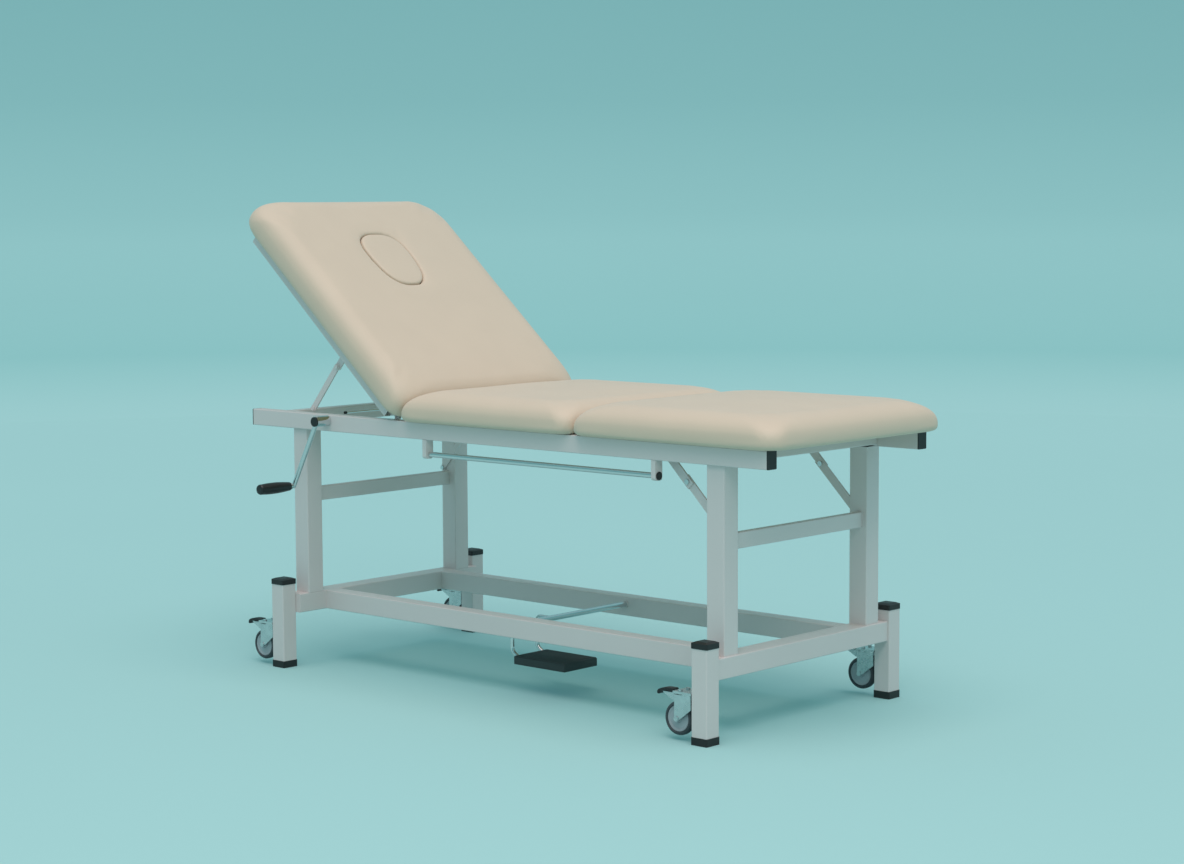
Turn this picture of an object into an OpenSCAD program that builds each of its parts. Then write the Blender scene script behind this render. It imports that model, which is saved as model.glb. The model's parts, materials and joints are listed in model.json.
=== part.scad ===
// Examination table: welded steel frame, three upholstered sections with a crank-raised
// back, and a foot pedal that lowers four braked castors.
// Units mm. X runs from the head end to the foot end, Z is up, the floor is z = 0.
// The design frame has its origin midway between the posts; every part is then moved so
// that the origin is the middle of the bounding box, on the floor.

/* [Posts and feet] */
// side of the square post tube
post_side = 50; // [44:1:60]
// half the distance between the post centres along the table
post_x = 799; // [780:1:830]
// half the distance between the post centres across the table
post_y = 390.5; // [380:0.5:405]
// height of the top end of the post tube
post_top = 250; // [240:1:270]
// side of the black plastic caps on the post ends
cap_side = 52.6; // [46:0.2:63]
// height of the foot pad
pad_h = 20; // [12:1:26]
// height of the cap on top of a post
cap_h = 13; // [8:1:20]

/* [Beams] */
// width along X of the beams across each end
beam_w = 63; // [58:1:66]
// height of the lower beams
beam_h = 55; // [45:1:60]
// underside of the lower beams above the floor
beam_z = 160; // [150:1:166]
// how far the end beam is set in from the outer face of the post
beam_inset = 6; // [0:0.5:10]
// inner face of the long beams from the middle line
long_y = 214; // [206:1:218]
// width of the long beams
long_w = 50; // [45:1:56]

/* [Uprights and rails] */
// side of the square upright tube
upright_side = 57; // [50:1:58]
// distance of the upright centre from the middle line
upright_y = 303; // [300:0.5:306]
// underside of the stretchers above the floor
stretch_z = 480; // [420:1:560]
// height of the stretchers
stretch_h = 42; // [30:1:50]
// thickness of the stretchers along X
stretch_t = 20; // [16:1:26]
// underside of the rails above the floor
rail_z = 698.2; // [690:0.2:720]
// height of the rails
rail_h = 47.7; // [44:0.1:52]
// width of the rails
rail_w = 36.6; // [32:0.2:42]
// outer face of the rails from the middle line
rail_y = 341.4; // [339:0.2:344]
// head end of the rails
rail_x0 = -983; // [-995:0.5:-965]
// foot end of the rails
rail_x1 = 956.8; // [940:0.1:970]
// wall of the steel tubes
wall = 2.5; // [2:0.1:3.2]
// outer corner radius of the steel tubes
tube_r = 3; // [2.6:0.1:4]

/* [Back section] */
// angle of the back above level in the shown pose
back_angle = 41.1; // [30:0.1:44]
// hinge line of the back along X
hinge_x = -400.6; // [-404:0.1:-396]
// side of the square tube of the back frame
back_tube = 22.8; // [20:0.2:23]
// length of the back frame along the back
back_len = 739; // [700:1:760]
// lever from the hinge line down to the lift pin
lever_r = 47; // [44:0.5:48]
// lift pin diameter
lift_pin_d = 10; // [8:0.5:11]

/* [Cushions] */
// half width of the cushions at their widest
cush_b = 376; // [368:1:380]
// foot end of the leg cushion
leg_x1 = 1002; // [990:0.5:1010]
// joint line between the seat cushion and the leg cushion
seam_x = 313; // [290:1:325]
// head end of the seat cushion
seat_x0 = -323; // [-324:0.5:-316]
// height of the lower rounding of a cushion
cush_low = 18.5; // [16:0.5:20]
// height of the upper rounding of a cushion
cush_up = 66.5; // [60:0.5:70]
// rise of the crowned top above its edge
crown = 12; // [4:1:16]
// height of the upper rounding of the back cushion
back_up = 73; // [66:0.5:78]
// thickness of the plywood boards
board_t = 12; // [11.5:0.1:15]

/* [Crank and rack] */
// crank axis along X
crank_x = -651; // [-660:1:-640]
// crank axis height
crank_z = 729; // [727:0.5:731]
// outside diameter of the crank hub
hub_d = 31; // [24:0.5:32]
// diameter of the crank spindle in the rail
spindle_d = 16; // [12:0.5:17]
// diameter of the crank arm
arm_d = 14; // [10:0.5:15]
// outer end of the hub from the middle line
hub_y = 391; // [380:1:400]
// end of the crank arm along X
arm_x = -755; // [-770:1:-740]
// end of the crank arm height
arm_z = 536; // [525:1:550]
// length of the turning grip
grip_len = 116; // [100:1:140]
// diameter of the grip
grip_d = 33; // [26:1:36]
// tooth module of the pinion and rack
gear_m = 2; // [1.8:0.1:2.1]
// teeth on the pinion
pinion_n = 12; // [11:1:13]
// backlash between pinion and rack
backlash = 0.25; // [0.15:0.05:0.4]

/* [Props] */
// width of the prop bars
prop_w = 18; // [16:0.2:20]
// thickness of the prop bars
prop_t = 5; // [4:0.5:6]
// distance of the prop pivot from the hinge line along the back
prop_s = 264.5; // [255:0.5:270]
// length of a prop from pivot to foot bolt
prop_len = 225.8; // [222:0.1:230]

/* [Accessory rail] */
// diameter of the accessory rod
acc_d = 15; // [12:0.5:18]
// head-side bracket centre along X
acc_x0 = -252; // [-280:1:-200]
// foot-side bracket centre along X
acc_x1 = 587; // [540:1:600]
// length of the brackets along X
acc_bw = 14; // [10:1:18]

/* [Pedal] */
// pedal shaft along X
pedal_x = 3; // [-6:1:12]
// pedal shaft height
pedal_z = 194; // [190:1:197]
// diameter of the pedal shaft
pedal_d = 16; // [12:0.5:18]
// diameter of the pedal arms
pedal_arm_d = 13; // [9:0.5:14]
// length of the tread along X
tread_l = 191; // [160:1:200]
// width of the tread across
tread_w = 134; // [120:1:140]
// thickness of the tread
tread_t = 24; // [18:1:26]
// top of the tread above the floor
tread_z = 103; // [98:1:107]

/* [Castors] */
// wheel diameter
wheel_d = 87; // [75:1:88]
// wheel width
wheel_w = 24; // [20:1:28]
// height of the wheel centre above the floor
axle_z = 57; // [54:0.5:58]
// distance of the wheel centre from the post centre
axle_off = 81; // [80:0.5:86]
// distance from the swivel line back to the wheel centre
trail = 30; // [26:1:33]
// underside of the castor carrier plate
carrier_z = 124; // [122:1:127]
// travel of the castors
castor_travel = 20; // [14:1:22]

/* [Hidden] */
$fn = 48;
gap = 0.3;
fit = 0.05;
rail_top = rail_z + rail_h;
rail_in = rail_y - rail_w;
hinge_z = rail_top + 1.2 + back_tube / 2;
module placed() translate([-x_mid, -y_mid, 0]) children();

beam_top = beam_z + beam_h;
beam_x1 = post_x + post_side / 2 - beam_inset;
beam_x0 = beam_x1 - beam_w;
up_x = beam_x0 + upright_side / 2;
post_in = post_y - post_side / 2;
up_in = upright_y - upright_side / 2;

// rounded outline of a steel tube
module rsq(w, h, r) {
  square([w - 2 * r, h], center = true);
  square([w, h - 2 * r], center = true);
  for (i = [-1, 1], j = [-1, 1]) translate([i * (w / 2 - r), j * (h / 2 - r)]) circle(r = r, $fn = 24);
}
module tube2(w, h) difference() {
  rsq(w, h, tube_r);
  rsq(w - 2 * wall, h - 2 * wall, max(tube_r - wall, 0.4));
}
// square tubes and rods along each axis, given by their middle lines
module along_x(x0, x1, y, z) translate([x0, y, z]) rotate([90, 0, 90]) linear_extrude(x1 - x0)
  children();
module along_y(y0, y1, x, z) translate([x, y1, z]) rotate([90, 0, 0]) linear_extrude(y1 - y0)
  children();
module along_z(z0, z1, x, y) translate([x, y, z0]) linear_extrude(z1 - z0) children();
module rod_y(d, y0, y1, x, z) translate([x, y1, z]) rotate([90, 0, 0]) cylinder(d = d, h = y1 - y0);
module rod_x(d, x0, x1, y, z) translate([x0, y, z]) rotate([0, 90, 0]) cylinder(d = d, h = x1 - x0);
module sides() { children(); mirror([0, 1, 0]) children(); }
module ends() { children(); mirror([1, 0, 0]) children(); }
// the back section is drawn level, measured from its hinge line, then raised
module raised() translate([hinge_x, 0, hinge_z]) rotate([0, back_angle, 0]) children();

// Rails and cross tubes
rail_cap_t = 3;
module rail(s) along_x(rail_x0 + rail_cap_t, rail_x1 - rail_cap_t, s * (rail_y - rail_w / 2),
  rail_z + rail_h / 2)
  tube2(rail_w, rail_h);
bush_d = spindle_d + 6;
module near_rail() color("gainsboro") placed() difference() {
  rail(-1);
  rod_y(bush_d, -rail_y - 1, -rail_in + 1, crank_x, crank_z);
}
module far_rail() color("gainsboro") placed() rail(1);
module rail_end_caps() color("black") placed() sides() {
  translate([0, -rail_y + rail_w / 2, rail_z + rail_h / 2]) {
    along_x(rail_x1 - rail_cap_t, rail_x1, 0, 0) rsq(rail_w, rail_h, tube_r);
    along_x(rail_x1 - rail_cap_t - 14, rail_x1 - rail_cap_t, 0, 0) rsq(rail_w - 2 * wall, rail_h -
      2 * wall, 1);
    along_x(rail_x0, rail_x0 + rail_cap_t, 0, 0) rsq(rail_w, rail_h, tube_r);
    along_x(rail_x0 + rail_cap_t, rail_x0 + rail_cap_t + 14, 0, 0) rsq(rail_w - 2 * wall, rail_h -
      2 * wall, 1);
  }
}
cross_w = 40;
cross_h = 42;
head_cross_x = -850;
foot_cross_x = 805;
module head_cross_tube() color("gainsboro") placed()
  along_y(-rail_in, rail_in, head_cross_x, rail_top - cross_h / 2) tube2(cross_w, cross_h);
module foot_cross_tube() color("gainsboro") placed()
  along_y(-rail_in, rail_in, foot_cross_x, rail_top - cross_h / 2) tube2(cross_w, cross_h);

// Uprights, stretchers and beams
module upright(x) along_z(beam_top, rail_z, x, -upright_y) tube2(upright_side, upright_side);
module head_uprights() color("gainsboro") placed() sides() upright(-up_x);
module foot_uprights() color("gainsboro") placed() sides() upright(up_x);
foot_stretch_x = up_x + upright_side / 2 - 15 - stretch_t / 2;
head_stretch_x = -up_x + upright_side / 2 - 23 - stretch_t / 2;
module stretcher(x) along_y(-up_in, up_in, x, stretch_z + stretch_h / 2) tube2(stretch_t, stretch_h);
module stretchers() color("gainsboro") placed() {
  stretcher(head_stretch_x);
  stretcher(foot_stretch_x);
}
// an end beam is closed by a plate at each end and has a vent hole underneath
end_plate = 3;
vent_d = 8;
module end_beam(x) difference() {
  union() {
    along_y(-post_in, post_in, x, beam_z + beam_h / 2) tube2(beam_w, beam_h);
    sides() along_y(-post_in, end_plate - post_in, x, beam_z + beam_h / 2)
      square([beam_w - wall, beam_h - wall], center = true);
  }
  along_z(beam_z - 1, beam_z + wall + 1, x, 0) circle(d = vent_d);
}
module end_beams() color("gainsboro") placed() ends() end_beam(beam_x0 + beam_w / 2);
bear_d = pedal_d + 6;
module long_beam() difference() {
  along_x(-beam_x0, beam_x0, -(long_y + long_w / 2), beam_z + beam_h / 2) tube2(long_w, beam_h);
  rod_y(bear_d, -long_y - wall - 1, -long_y + 1, pedal_x, pedal_z);
}
module long_beams() color("gainsboro") placed() sides() long_beam();

// Posts: the castor carriers slide inside them and reach out through a slot
pad_floor = 4;
post_bore = post_side - 2 * wall;
neck_w = 30;
plate_t = 6;
slot_z0 = carrier_z - castor_travel - 1;
slot_z1 = carrier_z + plate_t + 1;
module post(x) difference() {
  along_z(pad_floor, post_top, x, -post_y) tube2(post_side, post_side);
  translate([x - post_side / 2 - 1, -post_y - neck_w / 2 - 0.5, slot_z0])
    cube([wall + 2, neck_w + 1, slot_z1 - slot_z0]);
}
module head_posts() color("gainsboro") placed() sides() post(-post_x);
module foot_posts() color("gainsboro") placed() sides() post(post_x);
module foot_pads() color("black") placed() sides() for (x = [-post_x, post_x]) difference() {
  along_z(0, pad_h, x, -post_y) rsq(cap_side, cap_side, 4);
  along_z(pad_floor, pad_h + 1, x, -post_y) rsq(post_side, post_side, tube_r);
}
// top caps: a skirt over the tube and a low chamfered top
skirt = 5;
cham = 4;
module cap_prism() translate([-cap_side / 2, 0, 0]) rotate([90, 0, 90]) linear_extrude(cap_side)
  polygon([[-cap_side / 2, 0], [cap_side / 2, 0], [cap_side / 2, skirt + cap_h - cham],
    [cap_side / 2 - 2.5 * cham, skirt + cap_h], [-cap_side / 2 + 2.5 * cham, skirt + cap_h],
    [-cap_side / 2, skirt + cap_h - cham]]);
module post_top_caps() color("black") placed() sides() for (x = [-post_x, post_x])
  translate([x, -post_y, post_top - skirt]) difference() {
    intersection() {
      cap_prism();
      rotate([0, 0, 90]) cap_prism();
      along_z(0, skirt + cap_h, 0, 0) rsq(cap_side, cap_side, 4);
    }
    along_z(-1, skirt, 0, 0) rsq(post_side, post_side, tube_r);
  }

// Braces: two overlapping flat bars with a bolt; the far head one is a single bar
brace_w = 23;
brace_t = 5;
brace_y = 277;
brace_run = 155;
brace_bolt = 78;
lap = 15;
brace_root = 16;
// a bar drawn from the underside of the rail (origin) down to the upright at 45 degrees
module brace_shape(a, b) intersection() {
  rotate(-45) translate([a, -brace_w / 2]) square([b - a, brace_w]);
  translate([-100, -300]) square([100 + brace_run, 300 + brace_root]);
}
module brace_upper() color("silver") placed() {
  sides() translate([beam_x0 - brace_run, -brace_y - brace_t, rail_z]) rotate([90, 0, 0])
    linear_extrude(brace_t) difference() {
      brace_shape(-40, brace_bolt + lap);
      rotate(-45) translate([brace_bolt, 0]) circle(d = 8);
    }
  sides() translate([beam_x0 - brace_run - brace_root - 4, -rail_in, rail_z + 2])
    cube([brace_w - 4, rail_in - brace_y - 2 * brace_t, brace_root - 4]);
  head_brace();
}
module brace_lower() color("silver") placed() {
  sides() translate([beam_x0 - brace_run, -brace_y, rail_z]) rotate([90, 0, 0])
    linear_extrude(brace_t) difference() {
      brace_shape(brace_bolt - lap, 300);
      rotate(-45) translate([brace_bolt, 0]) circle(d = 8);
    }
}
head_brace_a = 49;
head_tab_t = 6;
head_bar_w = 17;
eye_d = 16;
eye_x = -up_x - 19.5;
eye_z = stretch_z + stretch_h + eye_d / 2 + 1;
head_brace_len = (rail_z - head_tab_t - eye_z) / sin(head_brace_a);
head_brace_x = eye_x + head_brace_len * cos(head_brace_a);
module head_brace() {
  translate([head_brace_x, up_in, rail_z - head_tab_t]) rotate([90, 0, 0]) linear_extrude(brace_t)
    difference() {
    union() {
      intersection() {
        rotate(180 + head_brace_a) translate([-30, -head_bar_w / 2]) square([head_brace_len + 30,
          head_bar_w]);
        translate([-300, -300]) square([400, 300]);
      }
      rotate(180 + head_brace_a) translate([head_brace_len, 0]) circle(d = eye_d);
    }
    rotate(180 + head_brace_a) translate([head_brace_len, 0]) circle(d = 8);
  }
  translate([head_brace_x - 22, up_in - brace_t, rail_z - head_tab_t])
    cube([44, rail_y - 6 - up_in + brace_t, head_tab_t]);
}
module hex_bolt(len) {
  cylinder(d = 8, h = len);
  translate([0, 0, -4]) cylinder(d = 14, h = 4);
  translate([0, 0, len]) cylinder(d = 14, h = 4);
}
bolt_rx = beam_x0 - brace_run + brace_bolt * cos(45);
bolt_rz = rail_z - brace_bolt * sin(45);
module brace_bolts() color("silver") placed() {
  sides() translate([bolt_rx, -brace_y - 2 * brace_t, bolt_rz]) rotate([-90, 0, 0]) hex_bolt(2 *
    brace_t);
  translate([head_brace_x - head_brace_len * cos(head_brace_a), up_in - brace_t,
    rail_z - head_tab_t - head_brace_len * sin(head_brace_a)]) rotate([-90, 0, 0]) {
    cylinder(d = 8, h = brace_t);
    translate([0, 0, -4]) cylinder(d = eye_d - 3, h = 4);
  }
}

// Accessory rail under the near rail
acc_drop = 53;
acc_bd = 28;
acc_y = -rail_y + acc_bd / 2;
acc_z = rail_z - acc_drop + 12;
module accessory_brackets() color("gainsboro") placed() for (x = [acc_x0, acc_x1])
  difference() {
    translate([x - acc_bw / 2, acc_y, rail_z - acc_drop]) rotate([90, 0, 90]) linear_extrude(acc_bw) {
      translate([-acc_bd / 2, 8]) square([acc_bd, acc_drop - 8]);
      translate([-acc_bd / 2 + 8, 0]) square([acc_bd - 16, acc_drop]);
      for (s = [-1, 1]) translate([s * (acc_bd / 2 - 8), 8]) circle(r = 8);
    }
    rod_x(acc_d, x - acc_bw, x + acc_bw, acc_y, acc_z);
  }
module accessory_rod() color("silver") placed()
  rod_x(acc_d, acc_x0 - acc_bw / 2, acc_x1 + acc_bw / 2, acc_y, acc_z);
module accessory_plug() color("black") placed()
  rod_x(acc_d + 7, acc_x1 + acc_bw / 2, acc_x1 + acc_bw / 2 + 2, acc_y, acc_z);

// Chrome cross rod fixed to the far rail, with a black tip
cross_rod_x = -725;
cross_rod_z = 739;
cross_rod_d = 6;
cross_rod_y0 = -206;
module cross_rod() color("silver") placed() rod_y(cross_rod_d, cross_rod_y0, rail_in, cross_rod_x,
  cross_rod_z);
module cross_rod_tip() color("black") placed() difference() {
  rod_y(cross_rod_d + 2.6, cross_rod_y0 - 2, cross_rod_y0 + 5, cross_rod_x, cross_rod_z);
  rod_y(cross_rod_d, cross_rod_y0, cross_rod_y0 + 7, cross_rod_x, cross_rod_z);
}

// Hinge ears on the rails, with their pins
ear_t = 4;
ear_w = 15;
ear_washer = 12;
pin_d = 8;
back_ear_y = 291.5;
back_ear_t = 5;
module hinge_ears() color("silver") placed() sides() {
  difference() {
    translate([hinge_x, -rail_in + ear_t, 0]) rotate([90, 0, 0]) linear_extrude(ear_t) {
      translate([-ear_w / 2, rail_z + 8]) square([ear_w, hinge_z - rail_z - 8]);
      translate([0, hinge_z]) circle(d = ear_w);
    }
  }
  rod_y(pin_d, -rail_in - 4, -back_ear_y + back_ear_t + 4, hinge_x, hinge_z);
  rod_y(ear_washer, -rail_in - 4, -rail_in, hinge_x, hinge_z);
  rod_y(ear_washer, -rail_in + ear_t, -back_ear_y - gap, hinge_x, hinge_z);
  rod_y(ear_washer, -back_ear_y + back_ear_t + gap, -back_ear_y + back_ear_t + 4, hinge_x, hinge_z);
}

// Crank: bush, spindle with hub, arm, plug, pinion and the turning grip
module crank_bush() color("goldenrod") placed() difference() {
  rod_y(bush_d, -rail_y, -rail_in, crank_x, crank_z);
  rod_y(spindle_d + 2 * fit, -rail_y - 3, -rail_in + 3, crank_x, crank_z);
}
hub_in = rail_y + gap;
pin_y0 = 301.5;
pin_w = 10;
module crank_spindle() color("silver") placed() {
  rod_y(hub_d, -hub_y, -hub_in, crank_x, crank_z);
  rod_y(spindle_d, -hub_in, -rail_in + gap, crank_x, crank_z);
  rod_y(spindle_d - 4, -rail_in + gap, -pin_y0 + pin_w + 6, crank_x, crank_z);
}
module crank_cap() color("black") placed() rod_y(hub_d - 3, -hub_y - 3, -hub_y, crank_x, crank_z);
arm_y = hub_y - 8;
elbow_extra = 1.6;
arm_vec = [arm_x - crank_x, 0, arm_z - crank_z];
arm_len = norm(arm_vec);
arm_tilt = atan2(arm_x - crank_x, arm_z - crank_z);
stub_y = hub_y + 8;
module crank_arm() color("silver") placed() {
  difference() {
    translate([crank_x, -arm_y, crank_z]) rotate([0, arm_tilt, 0]) cylinder(d = arm_d, h = arm_len);
    rod_y(hub_d, -hub_y, -hub_in, crank_x, crank_z);
  }
  translate([arm_x, -arm_y, arm_z]) sphere(d = arm_d + elbow_extra);
  rod_y(arm_d, -stub_y, -arm_y, arm_x, arm_z);
  rod_y(arm_d + 6, -stub_y, -stub_y + 5, arm_x, arm_z);
  rod_y(8, -stub_y - grip_len + 6, -stub_y, arm_x, arm_z);
}
grip_neck = 26;
module crank_grip() color("black") placed() difference() {
  translate([arm_x, -stub_y - gap, arm_z]) rotate([90, 0, 0]) union() {
    cylinder(d = grip_d - 8, h = 4);
    translate([0, 0, 4]) cylinder(d1 = grip_d - 8, d2 = grip_d, h = grip_neck);
    translate([0, 0, 4 + grip_neck]) cylinder(d = grip_d, h = grip_len - gap - 2 * grip_neck - 16);
    translate([0, 0, grip_len - gap - grip_neck - 12]) cylinder(d1 = grip_d, d2 = grip_d - 3,
      h = grip_neck);
    translate([0, 0, grip_len - gap - 12]) cylinder(d = grip_d - 3, h = 8);
    translate([0, 0, grip_len - gap - 4]) cylinder(d1 = grip_d - 3, d2 = grip_d - 9, h = 4);
  }
  rod_y(8 + 2 * fit, -stub_y - grip_len + 6 - gap, -stub_y + 1, arm_x, arm_z);
}

// pinion and rack: straight-sided teeth with clearance at the tips
pitch_r = gear_m * pinion_n / 2;
tooth_p = PI * gear_m;
half_t = tooth_p / 4 - backlash / 2;
tip_h = 0.9 * gear_m;
root_h = 1.2 * gear_m;
// involute points of half a tooth
base_r = pitch_r * cos(20);
function inv(a) = tan(a) * 180 / PI - a;
half_a = half_t / pitch_r * 180 / PI + inv(20);
function inv_pt(r, s) = let(a = acos(min(1, base_r / r)), t = half_a - inv(a)) [r * sin(s * t), r *
  cos(s * t)];
tip_r = pitch_r + tip_h;
root_r = pitch_r - root_h;
module pinion_shape() polygon([for (i = [0 : pinion_n - 1], k = [-6 : 6]) if (k != 0)
  let(m = abs(k), p = m == 6 ? [root_r * sin(half_a), root_r * cos(half_a)] : inv_pt(base_r +
    (tip_r - base_r) * (5 - m) / 4, 1),
    q = [sign(k) * p[0], p[1]], c = cos(i * 360 / pinion_n), d = sin(i * 360 / pinion_n))
  [q[0] * c + q[1] * d, q[1] * c - q[0] * d]]);
module crank_pinion() color("silver") placed() difference() {
  translate([crank_x, -pin_y0 + pin_w, crank_z]) rotate([90, 0, 0]) linear_extrude(pin_w)
    rotate(180) pinion_shape();
  rod_y(spindle_d - 4, -pin_y0 - 1, -pin_y0 + pin_w + 1, crank_x, crank_z);
}
rack_z = crank_z - pitch_r;
rack_y0 = 300;
rack_t = 8;
rack_root = rack_z - root_h;
rack_h = 12;
rack_n = 10;
lift_x = hinge_x - lever_r * sin(back_angle);
lift_z0 = hinge_z - lever_r;
lift_z1 = hinge_z - lever_r * cos(back_angle);
rack_tail = 64;
yoke_r = lift_pin_d / 2 + 8;
guide_a = 34;
guide_b = 110;
rack_x0 = crank_x - rack_tail;
slot_extra = 1.6;
module rack_tooth() polygon([[-half_t - root_h * tan(20) - 0.01, -root_h - 0.01], [half_t + root_h *
  tan(20) + 0.01, -root_h - 0.01],
  [half_t - tip_h * tan(20), tip_h], [-half_t + tip_h * tan(20), tip_h]]);
module lift_rack() color("silver") placed() translate([0, -rack_y0 + rack_t, 0]) rotate([90, 0, 0])
  linear_extrude(rack_t) difference() {
    union() {
      translate([rack_x0, rack_root - rack_h]) square([lift_x - rack_x0, rack_h]);
      for (i = [0 : rack_n - 1]) translate([crank_x + (1.5 - i) * tooth_p, rack_z]) rack_tooth();
      translate([lift_x - yoke_r - 1, lift_z0 - yoke_r]) square([2 * yoke_r + 2, lift_z1 - lift_z0 +
        2 * yoke_r]);
    }
    translate([lift_x - lift_pin_d / 2 - gap - slot_extra, lift_z0 - lift_pin_d / 2 - 1])
      square([lift_pin_d + 2 * gap + slot_extra, lift_z1 - lift_z0 + lift_pin_d + 2]);
  }
guide_w = 22;
module rack_guides() color("silver") placed() for (x = [crank_x - guide_a, crank_x + guide_b])
  translate([x - guide_w / 2, 0, 0]) difference() {
    translate([0, -rail_in, rack_root - rack_h - 8]) cube([guide_w, 20, rack_h + 6]);
    translate([-1, -rack_y0 - gap, rack_root - rack_h - gap]) cube([guide_w + 2, rack_t + 2 * gap,
      rack_h + 6]);
  }

// Back section, drawn level about its hinge line
low_tube_x = -41.4;
top_tube_x = -700;
tube_y = rail_y - back_tube / 2;
module back_side_tubes() color("gainsboro") placed() raised() sides()
  along_x(-back_len - 7, -7, -tube_y, (cush_z - back_tube / 2) / 2) tube2(back_tube, cush_z +
    back_tube / 2);
module back_cross_tubes() color("gainsboro") placed() raised() for (x = [low_tube_x, top_tube_x])
  along_y(-tube_y + back_tube / 2, tube_y - back_tube / 2, x, 0) tube2(back_tube, back_tube);
module back_ears() color("silver") placed() raised() {
  sides() difference() {
    translate([0, -back_ear_y + back_ear_t, 0]) rotate([90, 0, 0]) linear_extrude(back_ear_t) {
      translate([low_tube_x + back_tube / 2, -ear_w / 2]) square([-low_tube_x - back_tube / 2, ear_w]);
      circle(d = ear_w);
    }
    rod_y(pin_d + 2 * fit, -back_ear_y - 1, -back_ear_y + back_ear_t + 1, 0, 0);
  }
  translate([0, -back_ear_y + back_ear_t, 0]) rotate([90, 0, 0]) linear_extrude(back_ear_t) {
    translate([-ear_w / 2, -lever_r]) square([ear_w, lever_r - ear_w / 2 + 0.5]);
    translate([0, -lever_r]) circle(d = ear_w);
  }
  rod_y(lift_pin_d, -rack_y0, -back_ear_y, 0, -lever_r);
}
board_y = rail_y - back_tube - gap;
cush_z = 25;
back_x1 = 43;
back_x0 = -817.7;
module back_board() color("burlywood") placed() raised()
  translate([0, 0, back_tube / 2]) linear_extrude(cush_z - back_tube / 2) difference() {
    translate([back_x0 + 40, -board_y]) square([back_x1 - 30 - back_x0 - 40, 2 * board_y]);
    polygon([for (i = [0 : 47]) hole_pt(i * 7.5, 4)]);
  }

// Upholstery: closed soft forms built from rings, like pillows with a short under-edge
sup_low = 2.2;
sup_up = 2.3;
low_in = 15;
up_in_r = 87;
grow = 0.8;
function lo(k) = let(a = 90 - 90 * k / 4) [low_in * (1 - pow(cos(a), 2 / sup_low)), cush_low * (1 -
  pow(sin(a), 2 / sup_low))];
// upper rounding: how far in and how high at step k of 8
function hi(k, up, inn, s) = let(a = 90 * k / 8) [inn * (1 - pow(cos(a), 2 / s)), cush_low + up *
  pow(sin(a), 2 / s)];
// rounded rectangle with ra at its low-X end and rb at its high-X end, 52 points
function arc_pts(cx, cy, r, a0) = [for (k = [0 : 6]) [cx + r * cos(a0 + 15 * k), cy + r * sin(a0 +
  15 * k)]];
function mid_pts(p, q, n) = [for (k = [1 : n]) p + (q - p) * k / (n + 1)];
function outline(x0, x1, b, ra, rb) = let(
  c0 = arc_pts(x1 - rb, b - rb, rb, 0),
  c1 = arc_pts(x0 + ra, b - ra, ra, 90),
  c2 = arc_pts(x0 + ra, ra - b, ra, 180),
  c3 = arc_pts(x1 - rb, rb - b, rb, 270))
  concat(c0, mid_pts(c0[6], c1[0], 7), c1, mid_pts(c1[6], c2[0], 5), c2, mid_pts(c2[6], c3[0], 7),
    c3, mid_pts(c3[6], c0[0], 5));
function lift(pts, z) = [for (p = pts) [p[0], p[1], z]];
// one ring, set in by t: the corners get rounder toward the top
function ring(x0, x1, ra, rb, t, z, g) = lift(outline(x0 + t, x1 - t, cush_b - t, ra + g * t, rb +
  g * t), z);
// crown height over the cushion
function rise(x, y, x0, x1, inn, h) = h
  * pow(max(0, 1 - pow(abs(y) / (cush_b - inn), 2)), 1.2)
  * max(0, 1 - pow(abs(2 * x - x0 - x1) / (x1 - x0 - 2 * inn), 4));
function crowned(r, c, t, x0, x1, z) = [for (p = r) let(x = c[0] + (p[0] - c[0]) * t, y = c[1] +
  (p[1] - c[1]) * t)
  [x, y, z + rise(x, y, x0, x1, up_in_r, crown)]];
// joins rings of equal length into a closed skin; c0 and c1 close the ends
module skin(rings, c0, c1) {
  n = len(rings[0]);
  m = len(rings);
  pts = concat([for (r = rings) each r], [c0, c1]);
  polyhedron(pts, concat(
    [for (j = [0 : m - 2], i = [0 : n - 1]) each let(a = j * n + i, b = j * n + (i + 1) % n)
      [[a, a + n, b + n], [a, b + n, b]]],
    [for (i = [0 : n - 1]) [m * n, i, (i + 1) % n]],
    [for (i = [0 : n - 1]) [m * n + 1, (m - 1) * n + (i + 1) % n, (m - 1) * n + i]]), convexity = 6);
}
// the underside has a recess that takes the plywood board
pocket = 11.5;
rim_in = 44;
pocket_r = 30;
board_gap = 1;
module flat_cushion(x0, x1, ra, rb) {
  c = [(x0 + x1) / 2, 0];
  top = ring(x0, x1, ra, rb, up_in_r, 0, grow);
  inner = outline(x0 + rim_in, x1 - rim_in, cush_b - rim_in, pocket_r, pocket_r);
  skin(concat(
    [lift(inner, pocket), lift(inner, 0)],
    [for (k = [0 : 4]) ring(x0, x1, ra, rb, lo(k)[0], lo(k)[1], grow)],
    [for (k = [1 : 8]) let(h = hi(k, cush_up, up_in_r, sup_up)) ring(x0, x1, ra, rb, h[0], h[1],
      grow)],
    [for (t = [0.9, 0.7, 0.4]) crowned(top, c, t, x0, x1, cush_low + cush_up)]),
    [c[0], 0, pocket], [c[0], 0, cush_low + cush_up + crown]);
}
seat_z = rail_top + board_t - pocket;
module flat_board(x0, x1) {
  i = rim_in + board_gap;
  translate([0, 0, rail_top]) linear_extrude(board_t) polygon(outline(x0 + i, x1 - i, cush_b - i,
    pocket_r - board_gap, pocket_r - board_gap));
}
module seat_board() color("burlywood") placed() flat_board(seat_x0, seam_x);
module leg_board() color("burlywood") placed() flat_board(seam_x, leg_x1);
seam_r = 45;
module seat_cushion() color("wheat") placed() translate([0, 0, seat_z]) flat_cushion(seat_x0,
  seam_x, 20, seam_r);
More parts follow.
